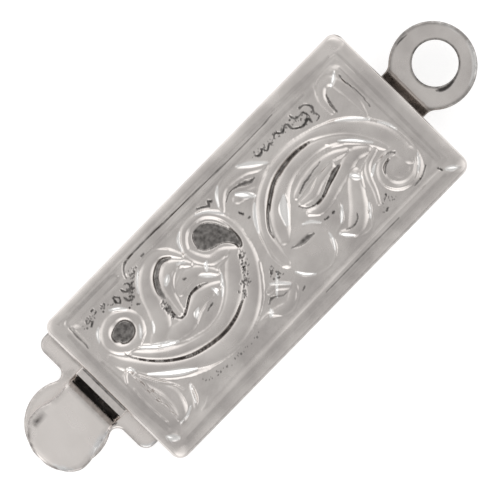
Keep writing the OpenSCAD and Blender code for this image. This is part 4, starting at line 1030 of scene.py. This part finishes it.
def makeBasePlate():
    # a slab with rounded edges worked out on a grid, then cut to the plate's outline
    t = tongueSize
    outline = plateOutline()
    hole = arcPoints(t["holeX"], t["middleY"], t["holeRadius"], 0, 360, 97)[:-1]
    lowX, seenX, farX = t["lugX"] - t["lugRadius"] - 0.1, t["seenX"], t["foldX"] + 0.1
    xs = np.concatenate([np.arange(lowX, seenX, t["cell"]), np.arange(seenX, farX, t["longCell"]), [farX]])
    halfY = t["baseHalf"] + 0.1
    ys = t["middleY"] + np.linspace(-halfY, halfY, int(2 * halfY / t["cell"]))
    gx, gy = np.meshgrid(xs, ys)
    toEdge = np.minimum(-outlineDistance(gx, gy, outline, 1),
                        np.hypot(gx - t["holeX"], gy - t["middleY"]) - t["holeRadius"])
    lift = 1 - np.clip(toEdge / t["edgeRound"], 0, 1)
    drop = t["edgeRound"] * (1 - np.sqrt(1 - lift ** 2))
    rows, columns = gx.shape
    points = list(zip(gx.ravel(), gy.ravel(), (t["baseLow"] + t["thick"] - drop).ravel()))
    points += list(zip(gx.ravel(), gy.ravel(), (t["baseLow"] + drop).ravel()))
    under = rows * columns
    faces = []
    for a, b, c, d in gridFaces(columns - 1, rows - 1):
        faces += [(a, b, c, d), (under + a, under + d, under + c, under + b)]
    border = gridBorder(columns - 1, rows - 1)
    faces += joinLoops(border, [under + k for k in border])
    slab = meshFrom("springTongue", points, faces)
    outwardFaces(slab)
    combine(slab, makePrism("plateShape", outline[::-1], 0, 1.5), "INTERSECT")
    combine(slab, makePrism("plateHole", hole, 0, 1.5), "DIFFERENCE")
    return slab


def leafStations():
    # middle of the sheet from the base, round the fold and out to the thumb tab's tip:
    # x, z, upper side y, lower side y (model y), share of full thickness
    t = tongueSize
    low, high = t["middleY"] - t["leafHalf"], t["middleY"] + t["leafHalf"]
    baseMiddle = t["baseLow"] + t["thick"] / 2
    foldRadius = (t["leafMiddle"] - baseMiddle) / 2
    # the sheet thins a hair where it lies inside the base, so the two join cleanly
    rows = [(t["foldX"] - back, baseMiddle, low, high, share)
            for back, share in ((0.3, 0.97), (0.15, 0.985), (0.02, 1.0))]
    for a in np.radians(np.linspace(-90, 90, t["foldRows"])):
        rows.append((t["foldX"] + foldRadius * math.cos(a), baseMiddle + foldRadius * (1 + math.sin(a)),
                     low, high, 1.0))
    edge = np.array(tabEdges)
    shift = faceSize["shift"]
    stripLow, stripHigh = shift - edge[0, 2], shift - edge[0, 1]
    for x in np.linspace(t["foldX"] - 0.2, t["catchX"] + 0.03, t["leafRows"]):
        rows.append((x, t["leafMiddle"], low, high, 1.0))
    # the catch shoulders: the leaf narrows to the strip almost at once
    for ahead, share in ((0.02, 0.97), (0.008, 0.85), (0.002, 0.5)):
        rows.append((t["catchX"] + ahead, t["leafMiddle"], stripLow + (low - stripLow) * share,
                     stripHigh + (high - stripHigh) * share, 1.0))
    for x in np.linspace(t["catchX"], mouthX, t["stripRows"]):
        rows.append((x, t["leafMiddle"], stripLow, stripHigh, 1.0))
    rise = np.array(tabRise)
    tipTurn = np.sin(np.radians(np.linspace(6, 86, t["tipRows"])))
    out = np.concatenate([np.linspace(0.04, t["tipFrom"], t["tabRows"]), t["tipFrom"] + 0.27 * tipTurn])
    smoothRise = smoothPath(np.column_stack([rise, np.zeros((len(rise), 2))]), 6)
    smoothEdge = smoothPath(np.column_stack([edge, np.zeros((len(edge), 1))]), 6)
    tip = mouthX - t["tipX"]
    for d in out:
        z = np.interp(d, smoothRise[:, 0], smoothRise[:, 1])
        upper = shift - np.interp(d, smoothEdge[:, 0], smoothEdge[:, 1])
        lower = shift - np.interp(d, smoothEdge[:, 0], smoothEdge[:, 2])
        share = math.sqrt(max(1 - max(0, (d - (tip - t["tipRound"])) / t["tipRound"]) ** 2, 0.0))
        rows.append((mouthX - d, t["leafMiddle"] + z, lower, upper, max(share, 0.05)))
    return np.array(rows)


def makeLeaf():
    t = tongueSize
    rows = leafStations()
    middle = rows[:, :2]
    run = np.gradient(middle, axis=0)
    run /= np.maximum(np.linalg.norm(run, axis=1), 1e-9)[:, None]
    square = np.column_stack([-run[:, 1], run[:, 0]])
    half = t["thick"] / 2
    roundness = t["edgeRound"]
    section = []     # share across (-1 to 1) with a set-in distance, and height
    for a in np.radians(np.linspace(-90, 0, 5)):
        section.append((1, roundness * (1 - math.cos(a)), -half + roundness * (1 + math.sin(a))))
    for a in np.radians(np.linspace(0, 90, 5)):
        section.append((1, roundness * (1 - math.cos(a)), half - roundness * (1 - math.sin(a))))
    over = [(s, roundness, half) for s in np.linspace(1, -1, t["overCells"])[1:-1]]
    side = [(-s, d, -z) for s, d, z in section]
    under = [(-s, roundness, -half) for s in np.linspace(1, -1, t["underCells"])[1:-1]]
    section = section + over + side + under
    points, faces = [], []
    for (x, z, low, high, share), normal in zip(rows, square):
        centre, halfY = (low + high) / 2, (high - low) / 2
        domed = float(smoothStep(np.array(mouthX - x), t["pillowFrom"], t["pillowTo"]))
        for s, d, h in section:
            y = centre + s * (halfY - min(d, halfY))
            sunk = t["pillow"] * abs(s) ** 6 * domed * (h > 0)
            points.append((x + normal[0] * (h - sunk) * share, y, z + normal[1] * (h - sunk) * share))
    n, m = len(rows), len(section)
    for a in range(n - 1):
        faces += [(a * m + b, a * m + (b + 1) % m, (a + 1) * m + (b + 1) % m, (a + 1) * m + b)
                  for b in range(m)]
    faces.append(tuple(range(m)))
    faces.append(tuple(reversed(range((n - 1) * m, n * m))))
    return meshFrom("leaf", points, faces)


springTongue = makeBasePlate()
leafPiece = makeLeaf()
outwardFaces(leafPiece)
combine(springTongue, leafPiece, "UNION")
print("tongue made:", len(springTongue.data.polygons), "faces")


# Tarnish, painted shade and painted highlights, laid on the finished meshes
# Marks and painted shade on the flat sheet, in the same reading as the relief: x, y, half width, strength.
# The rows named for shade are painted shade.
ringMarksAndShade = {
    "rimDash": [(17.22, 2.19, 0.02, 0.6), (17.5, 2.15, 0.035, 0.95), (17.85, 2.17, 0.02, 0.6)],
    "holeBlotch": [
        (17.12, 4.5, 0.05, 0.7), (17.3, 4.62, 0.1, 0.95), (17.6, 4.7, 0.08, 1.0),
        (17.95, 4.68, 0.035, 0.9), (18.3, 4.55, 0.02, 0.6),
    ],
    "neckShadeHigh": [(16.35, 2.55, 0.06, 0.5), (16.55, 2.44, 0.05, 0.55), (16.8, 2.28, 0.03, 0.3)],
    "neckShadeLow": [(16.35, 4.88, 0.06, 0.7), (16.55, 5.0, 0.05, 0.65), (16.8, 5.14, 0.03, 0.3)],
}
# Painted highlights on the ring: x, y, half width, strength.
ringGlints = {
    "lowerRight": [
        (18.15, 5.28, 0.05, 0.6), (18.72, 4.98, 0.09, 1.0), (19.12, 4.5, 0.09, 1.0),
        (19.3, 4.0, 0.05, 0.6),
    ],
    "upperRight": [(18.9, 2.5, 0.05, 0.3), (19.18, 3.0, 0.07, 0.5), (19.28, 3.6, 0.05, 0.3)],
}
# The tongue's marks and painted shade: the lug, ear and cover shadow rows are painted shade.
tongueMarksAndShade = {
    "tabStreak": [
        (-3.0, 2.55, 0.04, 0.6), (-2.8, 2.48, 0.07, 1.0), (-2.5, 2.45, 0.06, 0.9),
        (-2.28, 2.46, 0.04, 0.5),
    ],
    "bendSpot": [(-0.78, 4.58, 0.04, 0.8), (-0.66, 4.64, 0.05, 1.0)],
    "lugShade": [(-0.95, 1.75, 0.12, 0.12), (-0.75, 1.95, 0.2, 0.2), (-0.4, 2.05, 0.12, 0.15)],
    "earShade": [(-0.08, 0.6, 0.06, 0.18), (-0.06, 1.6, 0.08, 0.24), (-0.06, 2.1, 0.06, 0.2)],
    "coverShadowLine": [(-0.06, 2.3, 0.035, 0.7), (-0.06, 3.4, 0.04, 0.8), (-0.06, 4.5, 0.035, 0.7)],
    "sheetSeam": [(-0.27, 2.3, 0.02, 0.12), (-0.27, 3.4, 0.02, 0.15), (-0.27, 4.5, 0.02, 0.12)],
}
# Painted highlights on the tongue: x, y, half width, strength.
tongueGlints = {
    "tabCorner": [(-3.46, 4.05, 0.05, 0.6), (-3.34, 4.38, 0.09, 1.0), (-3.08, 4.68, 0.06, 0.8)],
    "tabFoot": [(-2.2, 4.84, 0.03, 0.5), (-1.7, 4.72, 0.09, 1.0), (-1.15, 4.62, 0.05, 0.8)],
    "lowEarEdge": [(-0.58, 5.9, 0.04, 0.6), (-0.42, 6.12, 0.06, 1.0), (-0.1, 6.22, 0.05, 0.8)],
    "mouthLip": [(-0.02, 2.3, 0.03, 0.6), (-0.02, 3.4, 0.03, 0.7), (-0.02, 4.5, 0.03, 0.6)],
}


def paintLayer(piece, name, values):
    layer = piece.data.attributes.new(name, "FLOAT", "POINT")
    layer.data.foreach_set("value", values.astype(np.float32))


def pointsOf(piece):
    co = np.empty(len(piece.data.vertices) * 3)
    piece.data.vertices.foreach_get("co", co)
    x, y, z = co.reshape(-1, 3).T / mm
    return x, y, z


def marksNear(x, y, table):
    found = np.zeros(x.shape)
    for rows in table.values():
        share, strength, _ = strokeNear(x, y, rows)
        found = np.maximum(found, strength * smoothStep(1.2 - share, 0.0, 0.7))
    return found


# How dark the painted shade is on the ring's neck, round the ring's rim and hole, and over the box's
# inside, 0 to 1.
boxPaintedShade = {
    "neck": 0.34, "neckFade": 0.12, "neckEdge": 8.36, "neckBow": 0.045,
    "rim": 0.62, "hole": 0.80, "inside": 0.35,
}
# How dark the painted shade is on the tongue: at the leaf's bend and past it, on the strip under the
# mouth's lip, and round the tab's and plate's edges, 0 to 1.
tonguePaintedShade = {
    "bend": 0.34, "tail": 0.50, "strip": 0.18,
    "tabEdge": 0.60, "tabInnerShade": 0.16, "plateEdge": 0.55, "plateInnerShade": 0.12,
}


def paintBox():
    x, y, z = pointsOf(stampedBox)
    along, across = readingOf(x, y)
    _, dark, bright = faceHeight(along, across)
    onFace = z > 2.3
    dark, bright = dark * onFace, bright * onFace
    r, shadeLevel = endRing, boxPaintedShade
    outside = (x > 8.004) & (z < 1.0)
    # painted shade on the neck where it climbs to the box
    neckEdge = shadeLevel["neckEdge"] - shadeLevel["neckBow"] * np.cos((y - r["rimY"]) * 1.6)
    neck = fadeOut(x, neckEdge - 0.05, neckEdge + 0.07) * shadeLevel["neck"]
    neck = np.maximum(neck, smoothStep(x, 7.9, 8.1) * fadeOut(x, 8.35, 8.75) * shadeLevel["neckFade"])
    # painted shade outlining the ring's rim and the hole's edge
    rim = np.hypot(x - r["rimX"], y - r["rimY"])
    hole = np.hypot(x - r["holeX"], y - r["rimY"])
    thin = smoothStep(rim, r["rimRadius"] - 0.19, r["rimRadius"] - 0.03) * shadeLevel["rim"]
    thin = np.maximum(thin, fadeOut(hole, r["holeRadius"] + 0.03, r["holeRadius"] + 0.11) * shadeLevel["hole"])
    ringDark = np.maximum(np.maximum(neck, thin), marksNear(along, across, ringMarksAndShade))
    # painted highlights on the ring
    ringBright = marksNear(along, across, ringGlints) * (z > 0.8)
    # painted shade over the inside of the hollow box
    inside = (z > 0.44) & (z < 2.25) & (np.abs(x) < 7.8) & (np.abs(y) < 3.5)
    dark = np.maximum(dark, np.where(outside, ringDark, 0))
    paintLayer(stampedBox, "tarnishAndShade", np.maximum(dark, inside * shadeLevel["inside"]))
    paintLayer(stampedBox, "highlight", np.maximum(bright, np.where(outside, ringBright, 0)))


def paintTongue():
    x, y, z = pointsOf(springTongue)
    along, across = readingOf(x, y)
    out = mouthX - x
    shadeLevel = tonguePaintedShade
    strip = (z > 0.9) & (across > 2.1) & (across < 4.72)
    # painted shade where the leaf bends up out of the mouth and fades past it, and on the strip in the
    # lip's shade
    bend = shadeLevel["bend"] * smoothStep(out, 0.46, 0.55) * fadeOut(out, 0.70, 0.80)
    tail = shadeLevel["tail"] * fadeOut(out, 0.74, 1.12) * smoothStep(out, 0.5, 0.7)
    nearMouth = shadeLevel["strip"] * smoothStep(out, -0.05, 0.02) * fadeOut(out, 0.42, 0.52)
    dark = np.maximum(np.maximum(bend, tail), nearMouth) * strip
    # painted shade outlines the edges of the tab and of the plate below it, with a fainter band further in
    edge = np.array(tabEdges)
    toSide = np.minimum(across - np.interp(out, edge[:, 0], edge[:, 1]),
                        np.interp(out, edge[:, 0], edge[:, 2]) - across)
    plateEdge = -outlineDistance(x, y, plateOutline(), 1)
    onTab, onPlate = (z > 1.15) & (out > 1.0), (z < 0.9) & (out > 0)
    for gap, low, high, kind, where in ((toSide, 0.03, 0.12, "tabEdge", onTab),
                                        (toSide, 0.12, 0.30, "tabInnerShade", onTab),
                                        (plateEdge, 0.03, 0.12, "plateEdge", onPlate),
                                        (plateEdge, 0.10, 0.26, "plateInnerShade", onPlate)):
        dark = np.maximum(dark, fadeOut(gap, low, high) * shadeLevel[kind] * where)
    seen = out > -0.1
    # marks, with painted shade from the lug, ear and cover shadow rows
    dark = np.maximum(dark, marksNear(along, across, tongueMarksAndShade) * seen)
    paintLayer(springTongue, "tarnishAndShade", dark)
    # painted highlights on the tongue
    paintLayer(springTongue, "highlight", marksNear(along, across, tongueGlints) * seen)


paintBox()
paintTongue()
print("tarnish laid on")


# Silver
# The stamped box is a little tarnished all over, and the tongue's sheet is cleaner.
boxSilver = {
    "clean": (0.760, 0.716, 0.684), "hazed": (0.590, 0.552, 0.528), "highlight": (0.97, 0.95, 0.93),
    "oxide": (0.075, 0.070, 0.066), "roughLow": 0.16, "roughHigh": 0.30, "grain": 0.010,
    "sharpAngle": 62,
}
tongueSilver = {
    "clean": (0.955, 0.900, 0.862), "hazed": (0.890, 0.836, 0.798), "highlight": (0.99, 0.985, 0.98),
    "oxide": (0.060, 0.050, 0.048), "roughLow": 0.18, "roughHigh": 0.30, "grain": 0.006,
    "sharpAngle": 50,
}
# Noise scales are per metre: clouds of haze, blots in the tarnish, and the sheet's grain.
silverPattern = {
    "cloudScale": 620, "blotScale": 5500, "grainScale": 1500,
    "blotDark": 1.24, "blotLight": 0.72, "bumpStrength": 0.25,
}


def mixColour(nodes, links, share, low, high):
    mix = nodes.new("ShaderNodeMix")
    mix.data_type = "RGBA"
    for socket, value in ((0, share), (6, low), (7, high)):
        if isinstance(value, tuple):
            mix.inputs[socket].default_value = (*value, 1)
        else:
            links.new(value, mix.inputs[socket])
    return mix.outputs[2]


def noiseFrom(nodes, links, place, scale, detail):
    noise = nodes.new("ShaderNodeTexNoise")
    noise.inputs["Scale"].default_value = scale
    noise.inputs["Detail"].default_value = detail
    links.new(place, noise.inputs["Vector"])
    return noise.outputs["Fac"]


def mapRange(nodes, links, value, fromLow, fromHigh, toLow, toHigh):
    node = nodes.new("ShaderNodeMapRange")
    for name, number in (("From Min", fromLow), ("From Max", fromHigh),
                         ("To Min", toLow), ("To Max", toHigh)):
        node.inputs[name].default_value = number
    links.new(value, node.inputs["Value"])
    return node.outputs[0]


def makeSilver(name, look):
    material = bpy.data.materials.new(name)
    material.use_nodes = True
    nodes, links = material.node_tree.nodes, material.node_tree.links
    nodes.clear()
    out = nodes.new("ShaderNodeOutputMaterial")
    shader = nodes.new("ShaderNodeBsdfPrincipled")
    shader.inputs["Metallic"].default_value = 1.0
    links.new(shader.outputs[0], out.inputs[0])
    place = nodes.new("ShaderNodeTexCoord").outputs["Object"]
    cloud = noiseFrom(nodes, links, place, silverPattern["cloudScale"], 5)
    cloudShare = mapRange(nodes, links, cloud, 0.35, 0.65, 0, 1)
    silver = mixColour(nodes, links, cloudShare, look["clean"], look["hazed"])
    # one layer holds tarnish together with painted shade, the other holds painted highlights
    paintedLayers = {}
    for layer in ("highlight", "tarnishAndShade"):
        attribute = nodes.new("ShaderNodeAttribute")
        attribute.attribute_name = layer
        paintedLayers[layer] = attribute.outputs["Fac"]
    # painted highlights lighten the silver towards the highlight colour
    silver = mixColour(nodes, links, paintedLayers["highlight"], silver, look["highlight"])
    # the tarnish and the painted shade are mottled, never one even tone
    blots = noiseFrom(nodes, links, place, silverPattern["blotScale"], 3)
    mottle = mapRange(nodes, links, blots, 0.3, 0.7, silverPattern["blotDark"], silverPattern["blotLight"])
    depth = nodes.new("ShaderNodeMath")
    depth.operation = "MULTIPLY"
    depth.use_clamp = True
    links.new(paintedLayers["tarnishAndShade"], depth.inputs[0])
    links.new(mottle, depth.inputs[1])
    silver = mixColour(nodes, links, depth.outputs[0], silver, look["oxide"])
    links.new(silver, shader.inputs["Base Color"])
    fine = noiseFrom(nodes, links, place, silverPattern["grainScale"], 5)
    rough = mapRange(nodes, links, fine, 0.3, 0.7, look["roughLow"], look["roughHigh"])
    links.new(rough, shader.inputs["Roughness"])
    bump = nodes.new("ShaderNodeBump")
    bump.inputs["Strength"].default_value = silverPattern["bumpStrength"]
    bump.inputs["Distance"].default_value = look["grain"] * mm
    links.new(fine, bump.inputs["Height"])
    links.new(bump.outputs[0], shader.inputs["Normal"])
    return material


def finishPiece(piece, name, look, body, node):
    mesh = piece.data
    mesh.materials.clear()
    mesh.materials.append(makeSilver(name, look))
    mesh.polygons.foreach_set("material_index", [0] * len(mesh.polygons))
    mesh.shade_smooth()
    mesh.set_sharp_from_angle(angle=math.radians(look["sharpAngle"]))
    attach(piece, body)
    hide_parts(node)


finishPiece(stampedBox, "stampedSilver", boxSilver, "case", "box")
finishPiece(springTongue, "sheetSilver", tongueSilver, "slider", "tongue")
print("silver laid on")


# Table, light and camera
studio = {
    "tableSize": 0.8, "tableZ": -0.004, "tableTone": 0.55, "tableGlow": 0.68, "tableRough": 0.9,
    # brightness of the light tent by height: the cosine from straight overhead, tone
    "tent": [(0.0, 0.50), (0.15, 0.68), (0.36, 0.84), (0.60, 0.66), (0.80, 0.60), (0.95, 0.63)],
    "sideTilt": 0.13,
    "softEdge": 0.80, "softCore": 0.97,      # how sharply a soft box fades, as a cosine
    # a very long lens, because the photo shows no perspective
    "cameraLens": 1600, "sensor": 36, "viewAcross": 19.2, "turn": 45.6, "aimX": -0.291, "aimY": 0.092,
    "aimZ": 2.5,
}
# Soft boxes beside the clasp: direction, brightness.
softBoxes = {
    "front": ((-0.64, -0.64, 0.42), 1.0),
    "right": ((0.64, -0.64, 0.42), 0.7),
    "back": ((0.64, 0.64, 0.42), 0.6),
    "left": ((-0.64, 0.64, 0.42), 0.3),
}


def makeTable():
    half, z = studio["tableSize"] / 2 / mm, studio["tableZ"]
    corners = [(-half, -half, z), (half, -half, z), (half, half, z), (-half, half, z)]
    table = meshFrom("table", corners, [(0, 1, 2, 3)])
    material = bpy.data.materials.new("paleTable")
    material.use_nodes = True
    shader = material.node_tree.nodes["Principled BSDF"]
    tone = studio["tableTone"]
    shader.inputs["Base Color"].default_value = (tone, tone, tone, 1)
    shader.inputs["Roughness"].default_value = studio["tableRough"]
    shader.inputs["Emission Color"].default_value = (1, 1, 1, 1)
    shader.inputs["Emission Strength"].default_value = studio["tableGlow"]
    table.data.materials.append(material)


def makeLight():
    world = bpy.data.worlds.new("studio")
    bpy.context.scene.world = world
    world.use_nodes = True
    nodes, links = world.node_tree.nodes, world.node_tree.links
    nodes.clear()
    out = nodes.new("ShaderNodeOutputWorld")
    back = nodes.new("ShaderNodeBackground")
    links.new(back.outputs[0], out.inputs[0])
    towards = nodes.new("ShaderNodeTexCoord").outputs["Generated"]
    split = nodes.new("ShaderNodeSeparateXYZ")
    links.new(towards, split.inputs[0])
    ramp = nodes.new("ShaderNodeValToRGB")
    ramp.color_ramp.interpolation = "EASE"
    links.new(split.outputs["Z"], ramp.inputs[0])
    ramp.color_ramp.elements.remove(ramp.color_ramp.elements[0])
    for k, (at, tone) in enumerate(studio["tent"]):
        element = ramp.color_ramp.elements[0] if k == 0 else ramp.color_ramp.elements.new(at)
        element.position = at
        element.color = (tone, tone, tone, 1)

    def join(operation, first, second):
        node = nodes.new("ShaderNodeMath")
        node.operation = operation
        for socket, value in zip(node.inputs, (first, second)):
            if isinstance(value, float):
                socket.default_value = value
            else:
                links.new(value, socket)
        return node.outputs[0]

    # one side of the tent is a little lighter than the other
    total = join("ADD", ramp.outputs[0], join("MULTIPLY", split.outputs["Y"], studio["sideTilt"]))
    for direction, strength in softBoxes.values():
        facing = nodes.new("ShaderNodeVectorMath")
        facing.operation = "DOT_PRODUCT"
        links.new(towards, facing.inputs[0])
        facing.inputs[1].default_value = direction
        spread = nodes.new("ShaderNodeMapRange")
        spread.interpolation_type = "SMOOTHSTEP"
        spread.inputs["From Min"].default_value = studio["softEdge"]
        spread.inputs["From Max"].default_value = studio["softCore"]
        spread.inputs["To Max"].default_value = strength
        links.new(facing.outputs["Value"], spread.inputs["Value"])
        total = join("ADD", total, spread.outputs[0])
    links.new(total, back.inputs[0])


def makeCamera():
    camera = bpy.data.cameras.new("camera")
    camera.lens = studio["cameraLens"]
    camera.sensor_width = studio["sensor"]
    distance = studio["viewAcross"] * camera.lens / camera.sensor_width
    camera.clip_start, camera.clip_end = 0.01, 10
    holder = bpy.data.objects.new("camera", camera)
    bpy.context.scene.collection.objects.link(holder)
    holder.location = (studio["aimX"] * mm, studio["aimY"] * mm, (distance + studio["aimZ"]) * mm)
    holder.rotation_euler = (0, 0, math.radians(-studio["turn"]))
    bpy.context.scene.camera = holder


makeTable()
makeLight()
makeCamera()
scene = bpy.context.scene
scene.view_settings.view_transform = "Standard"
print("studio set")
